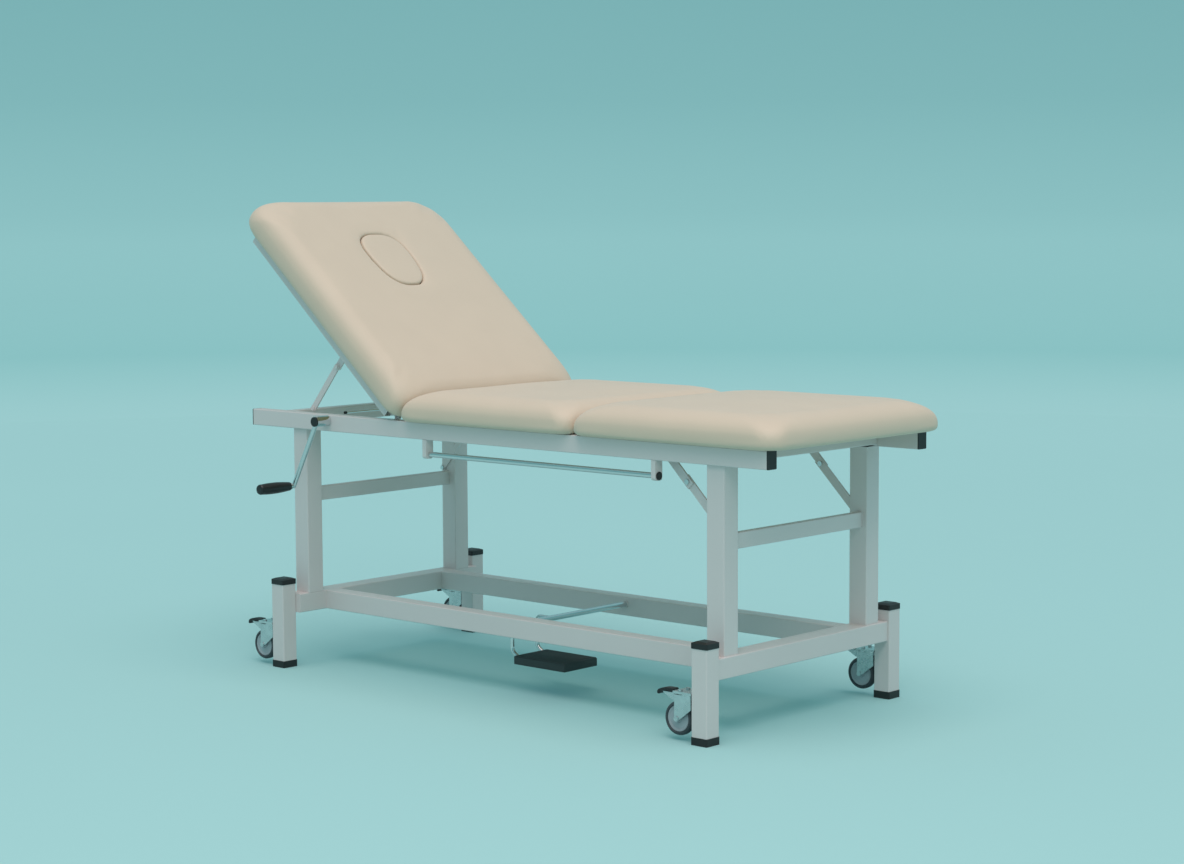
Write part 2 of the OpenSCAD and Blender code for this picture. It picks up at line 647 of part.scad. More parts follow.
module leg_cushion() color("wheat") placed() translate([0, 0, seat_z]) flat_cushion(seam_x, leg_x1,
  seam_r, 58);

// face hole: a rounded opening, a little wider toward the head end
hole_x = -519.5;
hole_y = -12;
hole_l = 112;
hole_w = 83;
function sp(v) = sign(v) * pow(abs(v), 2 / 2.7);
function hole_pt(a, g) = let(u = sp(cos(a))) [hole_x + (hole_l + g) * u, hole_y + (hole_w + g) *
  sp(sin(a)) * (1 - 0.1 * u)];
back_in = 77;
sup_back = 2.6;
back_grow = 1.5;
back_crown = 2;
back_ra = 76;
back_rb = 37;
function back_ring(t, z) = ring(back_x0, back_x1, back_ra, back_rb, t, z, back_grow);
back_edge = back_ring(back_in, 0);
back_z = cush_low + back_up;
function back_rise(x, y) = back_z + rise(x, y, back_x0, back_x1, back_in, back_crown);
// directions from the hole toward the points of the outer rings
hole_a = [for (p = back_edge) atan2((p[1] - hole_y) / (1.6 * hole_w), (p[0] - hole_x) / hole_l)];
hole_ring = [for (a = hole_a) hole_pt(a, 0)];
module back_cushion() color("wheat") placed() raised() translate([0, 0, cush_z]) {
  n = len(back_edge);
  rings = concat(
    [for (k = [0 : 4]) back_ring(lo(k)[0], lo(k)[1])],
    [for (k = [1 : 8]) let(h = hi(k, back_up, back_in, sup_back)) back_ring(h[0], h[1])],
    [for (t = [0.75, 0.45, 0.2, 0.03]) [for (i = [0 : n - 1]) let(x = hole_ring[i][0] +
      (back_edge[i][0] - hole_ring[i][0]) * t,
      y = hole_ring[i][1] + (back_edge[i][1] - hole_ring[i][1]) * t) [x, y, back_rise(x, y)]]],
    [[for (p = hole_ring) [p[0], p[1], back_rise(p[0], p[1]) - 4]]],
    [lift(hole_ring, 0)]);
  m = len(rings);
  polyhedron([for (r = rings) each r], [for (j = [0 : m - 1], i = [0 : n - 1])
    each let(a = j * n + i, b = j * n + (i + 1) % n, j2 = ((j + 1) % m) * n, c = j2 + i, d = j2 +
      (i + 1) % n)
      [[a, c, d], [a, d, b]]], convexity = 8);
}
plug_gap = 0.4;
plug_edge = [for (a = hole_a) hole_pt(a, -plug_gap)];
function plug_ring(t, dz) = [for (p = plug_edge) let(x = hole_x + (p[0] - hole_x) * t, y = hole_y +
  (p[1] - hole_y) * t)
  [x, y, back_rise(x, y) + dz]];
module face_plug() color("wheat") placed() raised() translate([0, 0, cush_z])
  skin([lift(plug_edge, 0.5), plug_ring(1, -7), plug_ring(0.985, -2.5),
    plug_ring(0.95, -0.3),
    plug_ring(0.85, 0), plug_ring(0.5, 0)], [hole_x, hole_y, 0.5], [hole_x, hole_y,
    back_rise(hole_x, hole_y)]);

// Props: two overlapping bars pivoted on a stud inside the back frame, foot on the rail top
prop_x = hinge_x - prop_s * cos(back_angle);
prop_z = hinge_z + prop_s * sin(back_angle);
prop_y = 313.5;
prop_lap = 62.8;
foot_clear = 3.75;
prop_angle = asin((prop_z - rail_top - prop_w / 2 - foot_clear) / prop_len);
prop_plate_w = 21;
stud_d = 10;
module prop_place() translate([prop_x, 0, prop_z]) rotate([0, -prop_angle, 0]) children();
module prop_bar_shape(x0, x1, w, hole0, hole1) difference() {
  union() {
    translate([-x1, -w / 2]) square([x1 - x0, w]);
    translate([-x0, 0]) circle(d = w);
    translate([-x1, 0]) circle(d = w);
  }
  translate([-x0, 0]) circle(d = hole0);
  translate([-x1, 0]) circle(d = hole1);
}
module prop_bar() prop_place() translate([0, -prop_y + prop_t, 0]) rotate([90, 0, 0])
  linear_extrude(prop_t)
  prop_bar_shape(prop_lap, prop_len, prop_w, 8, 8);
module prop_plate() prop_place() translate([0, -prop_y + 2 * prop_t, 0]) rotate([90, 0, 0])
  linear_extrude(prop_t)
  prop_bar_shape(0, prop_lap, prop_plate_w, stud_d + 2 * fit, 8);
module prop_bolts() prop_place() {
  for (x = [-prop_lap, -prop_len]) {
    rod_y(13, -prop_y - 4, -prop_y, x, 0);
  }
  rod_y(8, -prop_y, -prop_y + 2 * prop_t, -prop_lap, 0);
  rod_y(13, -prop_y + 2 * prop_t, -prop_y + 2 * prop_t + 4, -prop_lap, 0);
  rod_y(8, -prop_y, -prop_y + prop_t, -prop_len, 0);
  rod_y(13, -prop_y + prop_t, -prop_y + prop_t + 4, -prop_len, 0);
}
module near_prop() color("silver") placed() {
  prop_bar();
  prop_plate();
  prop_bolts();
}
module far_prop() color("silver") placed() mirror([0, 1, 0]) {
  prop_bar();
  prop_plate();
  prop_bolts();
}
module prop_studs() color("silver") placed() raised() sides() {
  rod_y(stud_d, -rail_y + back_tube, -prop_y + 2 * prop_t + gap, -prop_s, 0);
  rod_y(stud_d + 6, -prop_y + 2 * prop_t + gap, -prop_y + 2 * prop_t + 3.5, -prop_s, 0);
}

// Foot pedal: cross shaft in two bearings, two bent arms and a ribbed tread
pedal_in = long_y;
bear_t = 3;
bear_in = 14;
module pedal_bearings() color("dimgray") placed() sides() difference() {
  rod_y(bear_d, -pedal_in - bear_in, -pedal_in + bear_t, pedal_x, pedal_z);
  rod_y(pedal_d + 2 * fit, -pedal_in - bear_in + 2, -pedal_in + bear_t + 1, pedal_x, pedal_z);
}
near_arm_y = -(pedal_in - bear_t - pedal_arm_d / 2 - 0.5);
far_arm_y = near_arm_y + 101;
tread_x0 = -20;
tread_y0 = near_arm_y - 26;
// arm path: back from the shaft, down, then forward into the tread
arm_drop_x = -50;
bend_a = 14;
bend_b = 24;
bend_z = 122;
module bend(cx, cz, r, a0, a1) translate([cx, 0, cz]) rotate([90, 0, 0]) rotate([0, 0, a0])
  rotate_extrude(angle = a1 - a0) translate([r, 0]) circle(d = pedal_arm_d);
module tail_place() translate([arm_drop_x + bend_b * (1 - cos(60)), 0, bend_z - bend_b * sin(60)])
  rotate([0, 120, 0]) children();
module arm_tail() tail_place() cylinder(d = pedal_arm_d, h = 34);
module pedal_arm() {
  rod_x(pedal_arm_d, arm_drop_x + bend_a, pedal_x + 3, 0, pedal_z);
  bend(arm_drop_x + bend_a, pedal_z - bend_a, bend_a, 90, 180);
  along_z(bend_z, pedal_z - bend_a, arm_drop_x, 0) circle(d = pedal_arm_d);
  bend(arm_drop_x + bend_b, bend_z, bend_b, 180, 240);
  arm_tail();
  // a core across the last joint of the path keeps the arm one solid
  tail_place() translate([0, 0, -3]) cylinder(d = pedal_arm_d - 3, h = 6);
}
module pedal_lever() color("silver") placed() {
  rod_y(pedal_d, -pedal_in - bear_in + 2 + gap, pedal_in + bear_in - 2 - gap, pedal_x, pedal_z);
  for (y = [near_arm_y, far_arm_y]) translate([0, y, 0]) pedal_arm();
}
rib_p = 8;
module pedal_tread() color("black") placed() difference() {
  union() {
    translate([tread_x0, tread_y0, tread_z - tread_t]) cube([tread_l, tread_w, tread_t - 1.2]);
    for (i = [0 : floor((tread_w - 8) / rib_p) - 1])
      translate([tread_x0 + 6, tread_y0 + 5 + i * rib_p, tread_z - 1.3]) cube([tread_l - 12, rib_p -
        3, 1.3]);
  }
  for (y = [near_arm_y, far_arm_y]) translate([0, y, 0]) arm_tail();
}

// Castors: carriers slide in the posts; forks swivel on their king pins
king_d = 12;
swivel_off = axle_off - trail;
crown_z = 115;
leg_in = wheel_w / 2 + 1.6;
leg_t = 3;
axle_head = 2.5;
carry_h = 40;
brake_pin_d = 5;
brake_z = crown_z - 8.5;
plate_x = 34;
plate_y = 26;
module castor_carriers() color("silver") placed() sides() for (x = [-post_x, post_x]) translate([x,
  -post_y, 0]) {
  along_z(carrier_z + plate_t / 2 - carry_h / 2, carrier_z + plate_t / 2 + carry_h / 2, 0, 0)
    rsq(post_bore - 0.2, post_bore - 0.2, 1);
  translate([-post_side / 2 - 1, -neck_w / 2, carrier_z]) cube([post_side / 2, neck_w, plate_t]);
  translate([-swivel_off - plate_x, -plate_y, carrier_z]) cube([swivel_off + plate_x - post_side /
    2 - gap, 2 * plate_y, plate_t]);
  for (i = [-1, 1]) translate([-swivel_off - plate_x / 2, i * plate_y * 0.6, carrier_z + plate_t])
    cylinder(d = 11, h = 4);
  translate([-swivel_off, 0, crown_z - gap]) cylinder(d = king_d, h = carrier_z - crown_z + gap + 1);
  translate([-swivel_off, 0, crown_z - gap - 4]) cylinder(d = king_d + 6, h = 4);
}
fork_front = 17;
leg_r = 7;
module fork_leg() difference() {
  union() {
    circle(r = leg_r);
    polygon([[-leg_r, 0], [-leg_r, crown_z + 4 - axle_z], [trail + fork_front, crown_z + 4 - axle_z],
      [trail + fork_front, crown_z - 31 - axle_z], [leg_r - 2, -leg_r + 2]]);
  }
}
module castor_fork(x, s) color("silver") placed() translate([x - swivel_off, s * post_y, 0]) {
  difference() {
    union() {
      translate([0, 0, crown_z + 4]) cylinder(d = 42, h = carrier_z - gap - crown_z - 4);
      translate([-trail - leg_r, -leg_in - leg_t, crown_z]) cube([trail + leg_r + fork_front, 2 *
        (leg_in + leg_t), 4]);
    }
    translate([0, 0, crown_z - 1]) cylinder(d = king_d + 2 * fit, h = 40);
  }
  for (m = [0, 1]) mirror([0, m, 0]) translate([-trail, -leg_in, axle_z]) rotate([90, 0, 0])
    linear_extrude(leg_t) fork_leg();
  rod_y(8, -leg_in - leg_t, leg_in + leg_t, -trail, axle_z);
  rod_y(14, -leg_in - leg_t - axle_head, -leg_in - leg_t, -trail, axle_z);
  rod_y(14, leg_in + leg_t, leg_in + leg_t + axle_head, -trail, axle_z);
  rod_y(brake_pin_d, -leg_in, leg_in, -trail - 5, brake_z);
}
module castor_wheel(x, s) color("dimgray") placed() translate([x - axle_off, s * post_y, axle_z])
  rotate([90, 0, 0])
  rotate_extrude() difference() {
    union() {
      translate([4 + fit, -leg_in + gap]) square([9, 2 * (leg_in - gap)]);
      translate([10, -wheel_w / 2 + 4]) square([20, wheel_w - 8]);
      translate([28, -wheel_w / 2]) square([wheel_d / 2 - 28 - 4, wheel_w]);
      translate([28, -wheel_w / 2 + 4]) square([wheel_d / 2 - 28, wheel_w - 8]);
      for (t = [-1, 1]) translate([wheel_d / 2 - 4, t * (wheel_w / 2 - 4)]) circle(r = 4);
    }
    translate([-1, -50]) square([5 + fit, 100]);
  }
// the brake: an arm from the pin between the fork legs, a shoe above the tyre and a foot tab
brake_w = 24;
tab_z = crown_z;
module castor_brake(x, s) color("black") placed() translate([x - swivel_off, s * post_y, 0])
  difference() {
  translate([0, brake_w / 2, 0]) rotate([90, 0, 0]) linear_extrude(brake_w) {
    translate([-trail, 0]) polygon([[-16, brake_z - 5.6], [-5, brake_z - 5],
      [-5, brake_z + 5], [-10.5, brake_z + 6], [-12.5, tab_z + 6], [-13.5, tab_z + 14.5],
      [-30, tab_z + 17], [-46, tab_z + 15.5], [-60, tab_z + 11], [-69, tab_z + 6],
      [-69.5, tab_z - 1], [-65, tab_z - 3], [-60, tab_z - 0.5], [-56, tab_z + 3],
      [-48, tab_z + 4]]);
    translate([-trail - 5, brake_z]) circle(r = 5);
  }
  rod_y(brake_pin_d + 2 * fit, -brake_w, brake_w, -trail - 5, brake_z);
}
module near_foot_fork() castor_fork(post_x, -1);
module far_foot_fork() castor_fork(post_x, 1);
module near_head_fork() castor_fork(-post_x, -1);
module far_head_fork() castor_fork(-post_x, 1);
module near_foot_wheel() castor_wheel(post_x, -1);
module far_foot_wheel() castor_wheel(post_x, 1);
module near_head_wheel() castor_wheel(-post_x, -1);
module far_head_wheel() castor_wheel(-post_x, 1);
module near_foot_brake() castor_brake(post_x, -1);
module far_foot_brake() castor_brake(post_x, 1);
module near_head_brake() castor_brake(-post_x, -1);
module far_head_brake() castor_brake(-post_x, 1);

// the middle of the bounding box is moved to the origin
function back_px(x, z) = hinge_x + cos(back_angle) * x + sin(back_angle) * (cush_z + z);
x_min = min([for (k = [0 : 4]) back_px(back_x0 + lo(k)[0], lo(k)[1]),
  for (k = [1 : 8]) let(h = hi(k, back_up, back_in, sup_back)) back_px(back_x0 + h[0], h[1])]);
x_mid = (x_min + leg_x1) / 2;
y_mid = (post_y + cap_side / 2 - stub_y - grip_len) / 2;

near_rail();
far_rail();
rail_end_caps();
head_cross_tube();
foot_cross_tube();
head_uprights();
foot_uprights();
stretchers();
end_beams();
long_beams();
head_posts();
foot_posts();
foot_pads();
post_top_caps();
brace_upper();
brace_lower();
brace_bolts();
accessory_brackets();
accessory_rod();
accessory_plug();
cross_rod();
cross_rod_tip();
hinge_ears();
crank_bush();
rack_guides();
pedal_bearings();
seat_board();
leg_board();
seat_cushion();
leg_cushion();
back_side_tubes();
back_cross_tubes();
back_ears();
prop_studs();
back_board();
back_cushion();
face_plug();
near_prop();
far_prop();
lift_rack();
crank_spindle();
crank_cap();
crank_arm();
crank_pinion();
crank_grip();
pedal_lever();
pedal_tread();
castor_carriers();
near_foot_fork();
far_foot_fork();
near_head_fork();
far_head_fork();
near_foot_wheel();
far_foot_wheel();
near_head_wheel();
far_head_wheel();
near_foot_brake();
far_foot_brake();
near_head_brake();
far_head_brake();
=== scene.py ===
import json
import math
import bmesh
import bpy
import numpy as np
from mathutils import Matrix, Vector


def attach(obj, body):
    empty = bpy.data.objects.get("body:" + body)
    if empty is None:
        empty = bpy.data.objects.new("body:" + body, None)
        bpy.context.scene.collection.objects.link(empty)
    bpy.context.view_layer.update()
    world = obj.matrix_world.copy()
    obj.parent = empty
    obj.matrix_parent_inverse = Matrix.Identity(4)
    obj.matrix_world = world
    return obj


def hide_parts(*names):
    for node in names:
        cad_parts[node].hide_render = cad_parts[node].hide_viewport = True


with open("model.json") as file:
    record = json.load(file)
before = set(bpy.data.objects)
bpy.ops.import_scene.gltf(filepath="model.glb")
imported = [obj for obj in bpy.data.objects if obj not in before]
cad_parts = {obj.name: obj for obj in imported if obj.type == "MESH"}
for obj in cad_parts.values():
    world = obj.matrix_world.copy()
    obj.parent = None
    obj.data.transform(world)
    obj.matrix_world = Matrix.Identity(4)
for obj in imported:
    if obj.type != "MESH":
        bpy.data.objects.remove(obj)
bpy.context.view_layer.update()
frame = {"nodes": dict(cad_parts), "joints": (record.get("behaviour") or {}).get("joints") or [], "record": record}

bl_info = {
    "name": "Examination table",
    "version": (1, 0, 0),
    "blender": (4, 5, 0),
    "location": "3D View > Sidebar > Exam table",
    "description": "Finishes the packed examination table: upholstery, castors, grips, coatings and a studio",
    "category": "Object",
}

NODES = frame["nodes"]
QUARTERS = ("near_foot", "far_foot", "near_head", "far_head")
# the table's drawing is in millimetres from the point between its four posts; this is the middle of its box
MIDDLE_X, MIDDLE_Y = 3.99361, -49.1
# lays a piece that is turned about Z across the table
ACROSS = Matrix.Rotation(math.radians(90), 4, "X")


def at(x, y, z):
    """A point in metres from one in the drawing's millimetres."""
    return Vector(((x - MIDDLE_X) / 1000, (y - MIDDLE_Y) / 1000, z / 1000))


def joint(name):
    """A joint of the table's record."""
    return next(j for j in frame["joints"] if j["name"] == name)


def joint_place(name):
    """The move from the origin to a joint."""
    return Matrix.Translation(joint(name)["pos_m"])


# Colours
def paint(code):
    """An sRGB hex colour as linear red, green and blue."""
    out = []
    for i in (1, 3, 5):
        c = int(code[i:i + 2], 16) / 255
        out.append(c / 12.92 if c <= 0.04045 else ((c + 0.055) / 1.055) ** 2.4)
    return tuple(out)


def rgba(code):
    """The same, opaque."""
    return (*paint(code), 1.0)


# Settings
class ExamTableColours(bpy.types.PropertyGroup):
    """Colours a user may change"""
    cover: bpy.props.FloatVectorProperty(
        name="Cover", description="Colour of the upholstery", subtype="COLOR", size=3,
        min=0.0, max=1.0, default=paint("#D2BFA9"))
    coat: bpy.props.FloatVectorProperty(
        name="Powder coat", description="Colour of the coated steel frame", subtype="COLOR", size=3,
        min=0.0, max=1.0, default=paint("#D6CECB"))
    moulding: bpy.props.FloatVectorProperty(
        name="Mouldings", description="Colour of the black plastic caps and pads", subtype="COLOR", size=3,
        min=0.0, max=1.0, default=paint("#1C1D1E"))
    studio: bpy.props.FloatVectorProperty(
        name="Studio", description="Colour of the floor and the backdrop", subtype="COLOR", size=3,
        min=0.0, max=1.0, default=paint("#9CC0BD"))


class ExamTableSizes(bpy.types.PropertyGroup):
    """Sizes a user may change"""
    pad_mesh: bpy.props.FloatProperty(
        name="Pad mesh", description="Face size of the upholstery before its last subdivision",
        subtype="DISTANCE", unit="LENGTH", min=0.004, max=0.02, default=0.0075)
    pad_fill: bpy.props.FloatProperty(
        name="Pad pressure", description="Pressure that fills the covers", min=0.0, max=12.0, default=3.0)
    pad_cap: bpy.props.FloatProperty(
        name="Pad swell", description="Most that a point of a cover moves when it fills",
        subtype="DISTANCE", unit="LENGTH", min=0.0, max=0.02, default=0.0018)
    tyre_radius: bpy.props.FloatProperty(
        name="Tyre radius", description="Outer radius of the castor tyres",
        subtype="DISTANCE", unit="LENGTH", min=0.03, max=0.045, default=0.0435)
    rib_pitch: bpy.props.FloatProperty(
        name="Tread ribs", description="Distance between the ribs of the foot pedal's tread",
        subtype="DISTANCE", unit="LENGTH", min=0.004, max=0.016, default=0.0075)


# Materials
def feed(tree, node, sockets):
    """Sets inputs by name or number, each to a value or to a link from another node's output."""
    for key, value in sockets.items():
        if isinstance(value, bpy.types.NodeSocket):
            tree.links.new(value, node.inputs[key])
        else:
            node.inputs[key].default_value = value


def add(tree, kind, sockets=None, **settings):
    """Adds one shader node with its settings and inputs."""
    n = tree.nodes.new(kind)
    for key, value in settings.items():
        setattr(n, key, value)
    feed(tree, n, sockets or {})
    return n


def noise(tree, where, scale, detail, **more):
    """A noise pattern. scale is the number of its cells to the metre."""
    inputs = {"Vector": where, "Scale": scale, "Detail": detail, **more}
    return add(tree, "ShaderNodeTexNoise", inputs).outputs["Fac"]


def mixed(tree, share, first, second, how="MIX"):
    """A colour between two others."""
    node = add(tree, "ShaderNodeMix", {0: share, 6: first, 7: second}, data_type="RGBA", blend_type=how)
    return node.outputs[2]


def spread(tree, value, low, high, start=0.0, stop=1.0):
    """A value from start to stop, stretched over low to high."""
    return add(tree, "ShaderNodeMapRange", {0: value, 1: start, 2: stop, 3: low, 4: high}).outputs[0]


def bumps(tree, height, strength, distance, **more):
    """Bumps that a height draws on a surface, distance metres high at most."""
    inputs = {"Height": height, "Strength": strength, "Distance": distance, **more}
    return add(tree, "ShaderNodeBump", inputs).outputs[0]


def material(name):
    """An empty material with its shader and the Object coordinates that all patterns here use."""
    m = bpy.data.materials.new(name)
    m.use_nodes = True
    tree = m.node_tree
    shader = tree.nodes["Principled BSDF"]
    where = add(tree, "ShaderNodeTexCoord").outputs["Object"]
    return m, tree, shader, where


def shade(colour, k):
    """A colour made k times as bright."""
    return (*(min(1.0, c * k) for c in colour), 1.0)


def powder_coat(colour):
    # Polyester powder coat baked on steel tube: a soft satin with a very slight orange peel.
    m, tree, shader, where = material("powder_coated_steel")
    broad = noise(tree, where, 3.0, 2.0)
    # The peel is about 1.5 mm from crest to crest, drawn at 2.5 mm so that it shows at all.
    peel = noise(tree, where, 400.0, 1.0)
    feed(tree, shader, {
        "Base Color": mixed(tree, broad, shade(colour, 0.96), shade(colour, 1.03)),
        "Roughness": spread(tree, broad, 0.36, 0.46),
        "Normal": bumps(tree, peel, 0.06, 0.0004),
        "Coat Weight": 0.12,
        "Coat Roughness": 0.25,
    })
    return m


def chrome_plate():
    # Bright chrome on drawn bar: mirror-like, broken a little by long polishing marks.
    m, tree, shader, where = material("chrome_plated_bar")
    smear = noise(tree, where, 18.0, 3.0)
    feed(tree, shader, {
        "Base Color": rgba("#D9DCDD"),
        "Metallic": 1.0,
        "Roughness": spread(tree, smear, 0.08, 0.2),
    })
    return m


def zinc_plate():
    # Bright zinc plate on pressed steel: a duller mirror with faint grey clouds.
    m, tree, shader, where = material("zinc_plated_pressing")
    cloud = noise(tree, where, 60.0, 1.0)
    feed(tree, shader, {
        "Base Color": mixed(tree, cloud, rgba("#B9C1C3"), rgba("#DCE2E3")),
        "Metallic": 1.0,
        "Roughness": spread(tree, cloud, 0.2, 0.36),
    })
    return m


def moulded_plastic(name, colour, grain_mm, rough):
    # Moulded plastic or rubber: a fine spark-eroded grain that greys the highlights.
    m, tree, shader, where = material(name)
    grain = noise(tree, where, 1000.0 / grain_mm, 2.0)
    dust = noise(tree, where, 30.0, 3.0)
    feed(tree, shader, {
        "Base Color": mixed(tree, dust, shade(colour, 0.8), shade(colour, 1.3)),
        "Roughness": rough,
        "Normal": bumps(tree, grain, 0.25, 0.0002),
    })
    return m


def birch_plywood():
    # Birch plywood boards under the pads: long pale grain along the table with a few darker streaks.
    m, tree, shader, where = material("birch_plywood")
    stretched = add(tree, "ShaderNodeMapping", {"Vector": where, "Scale": (3.0, 45.0, 45.0)}).outputs[0]
    grain = noise(tree, stretched, 4.0, 6.0, Distortion=0.6)
    feed(tree, shader, {
        "Base Color": mixed(tree, grain, rgba("#B08A5E"), rgba("#D9BD93")),
        "Roughness": 0.62,
        "Normal": bumps(tree, grain, 0.2, 0.0004),
    })
    return m


def vinyl_cover(colour):
    # Soft upholstery vinyl with an embossed hide grain: cells about 1.4 mm across, drawn at 2.2 mm
    # so that they break the highlights in a view of the whole table, and a faint sheen at the edges.
    m, tree, shader, where = material("embossed_vinyl_cover")
    cells = add(tree, "ShaderNodeTexVoronoi", {"Vector": where, "Scale": 450.0}, feature="DISTANCE_TO_EDGE")
    crease = spread(tree, cells.outputs["Distance"], 0.0, 1.0, stop=0.18)
    fine = bumps(tree, crease, 0.16, 0.0003)
    give = noise(tree, where, 9.0, 2.0)
    feed(tree, shader, {
        "Base Color": mixed(tree, give, shade(colour, 0.97), shade(colour, 1.03)),
        "Roughness": 0.55,
        "Normal": bumps(tree, give, 0.1, 0.004, Normal=fine),
        "Sheen Weight": 0.15,
        "Sheen Roughness": 0.45,
    })
    return m


MATERIALS = {}


def dress(node, name):
    """Gives a CAD node a material in all its slots."""
    slots = NODES[node].material_slots
    if not slots:
        NODES[node].data.materials.append(MATERIALS[name])
    for s in slots:
        s.material = MATERIALS[name]


# Modelling tools
def fresh():
    """Object mode with nothing selected."""
    if bpy.context.object and bpy.context.object.mode != "OBJECT":
        bpy.ops.object.mode_set(mode="OBJECT")
    bpy.ops.object.select_all(action="DESELECT")


def only(obj):
    """Selects one object and makes it the active one."""
    fresh()
    obj.select_set(True)
    bpy.context.view_layer.objects.active = obj


def take(name):
    """Names the new primitive and its mesh."""
    obj = bpy.context.object
    obj.name = name
    obj.data.name = name
    return obj


def edit(obj, mode="FACE"):
    """Edit mode on one object, with nothing selected."""
    only(obj)
    bpy.ops.object.mode_set(mode="EDIT")
    bpy.ops.mesh.select_mode(type=mode)
    bpy.ops.mesh.select_all(action="DESELECT")


def pick(obj, test):
    """Selects the faces whose middle and normal pass a test, in edit mode."""
    bm = bmesh.from_edit_mesh(obj.data)
    for face in bm.faces:
        face.select_set(bool(test(face.calc_center_median(), face.normal)))
    bm.select_flush_mode()
    bmesh.update_edit_mesh(obj.data)


def done(obj):
    """Back to object mode, with the normals outwards."""
    bpy.ops.mesh.select_all(action="SELECT")
    bpy.ops.mesh.remove_doubles(threshold=0.000005)
    bpy.ops.mesh.normals_make_consistent(inside=False)
    bpy.ops.object.mode_set(mode="OBJECT")


def apply_modifier(obj, kind, **settings):
    """Adds a modifier and applies it at once."""
    only(obj)
    mod = obj.modifiers.new(kind.lower(), kind)
    for key, value in settings.items():
        setattr(mod, key, value)
    bpy.ops.object.modifier_apply(modifier=mod.name)


def smooth(obj, angle=35):
    """Smooth shading, except at edges sharper than angle degrees."""
    only(obj)
    bpy.ops.object.shade_smooth_by_angle(angle=math.radians(angle))


def put(obj, matrix):
    """Moves a piece's mesh into place; the object stays at the origin."""
    obj.data.transform(obj.matrix_world)
    obj.matrix_world = Matrix.Identity(4)
    obj.data.transform(matrix)
    obj.data.update()


def finish_piece(obj, name, body, slot, *nodes):
    """Material and body of a new piece, and the CAD nodes that it stands for. slot is not used."""
    obj.data.materials.clear()
    obj.data.materials.append(MATERIALS[name])
    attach(obj, body)
    if nodes:
        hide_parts(*nodes)


def both_sides(rings):
    """Rings of one half of a turned piece, with their mirror image in the plane of height 0."""
    return rings + [(r, -h) for r, h in reversed(rings)]


def turned(name, rings, steps=48, closed=False):
    """A turned piece about Z, from rings of (radius, height) in metres: a circle extruded from ring to ring.
    closed joins the last ring to the first."""
    fresh()
    r, h = rings[0]
    bpy.ops.mesh.primitive_circle_add(vertices=steps, radius=r, fill_type="NOTHING", location=(0, 0, 0))
    obj = take(name)
    edit(obj, "EDGE")
    bpy.ops.mesh.select_all(action="SELECT")
    bpy.ops.transform.translate(value=(0, 0, h))
    for (ra, ha), (rb, hb) in zip(rings, rings[1:] + ([rings[0]] if closed else [])):
        bpy.ops.mesh.extrude_region_move(TRANSFORM_OT_translate={"value": (0, 0, hb - ha)})
        bpy.ops.transform.resize(value=(rb / ra, rb / ra, 1), center_override=(0, 0, hb))
    if not closed:
        bpy.ops.mesh.select_all(action="SELECT")
        bpy.ops.mesh.fill_holes(sides=0)
    done(obj)
    smooth(obj)
    return obj


def block(name, low, high, bevel, segments=3):
    """A box between two corners, with all its edges rounded."""
    fresh()
    low, high = Vector(low), Vector(high)
    bpy.ops.mesh.primitive_cube_add(size=1, location=(low + high) / 2)
    obj = take(name)
    obj.scale = high - low
    bpy.ops.object.transform_apply(location=True, rotation=True, scale=True)
    edit(obj)
    bpy.ops.mesh.select_all(action="SELECT")
    bpy.ops.mesh.bevel(offset=bevel, offset_type="OFFSET", segments=segments, affect="EDGES", profile=0.5)
    done(obj)
    smooth(obj, 40)
    return obj


def join(first, *others):
    """Joins other pieces into the first one."""
    fresh()
    for o in (first, *others):
        o.select_set(True)
    bpy.context.view_layer.objects.active = first
    bpy.ops.object.join()


# Upholstery
# All sizes are in the drawing's millimetres. HALF is half the width of every pad.
HALF = 376.0
# the lower rounding of a side: its inset, its height and its exponent
LOW_IN, LOW, SUPER_LOW = 15.0, 18.5, 2.2
# the upper rounding: its inset, height and exponent, how fast the corners widen, and the crown over it
LEVEL = (87.0, 66.5, 2.3, 0.8, 12.0)
BACK = (77.0, 73.0, 2.6, 1.5, 2.0)
# the pocket for the board under a level pad: the rim round it, its depth and its corner radius
RIM, POCKET, POCKET_R = 44.0, 11.5, 30.0
# the underside of the level pads, their ends and the joint between them
PAD_Z, SEAT_HEAD, SEAM, LEG_FOOT = 746.4, -323, 313, 1002
# from here toward its head end the seat pad hardly swells, because the back pad stands against it
SEAT_GUARD = -319
# a cover that is filled starts this much smaller, because the air moves it out again
SHRINK = 0.6
# steps of a pad's outline round a corner and along a side
CORNER_STEPS, SIDE_STEPS = 12, 40
# frames that the cover gets to settle
SETTLE = 20


def quarter(n, inset, start, rise, power, up):
    """Inset and height of n + 1 points on a full rounded quarter of a pad's side."""
    out = []
    for k in range(n + 1):
        a = math.radians(90 * k / n) if up else math.radians(90 - 90 * k / n)
        c, s = max(0.0, math.cos(a)) ** (2 / power), max(0.0, math.sin(a)) ** (2 / power)
        out.append((inset * (1 - c), start + rise * s if up else start * (1 - s)))
    return out


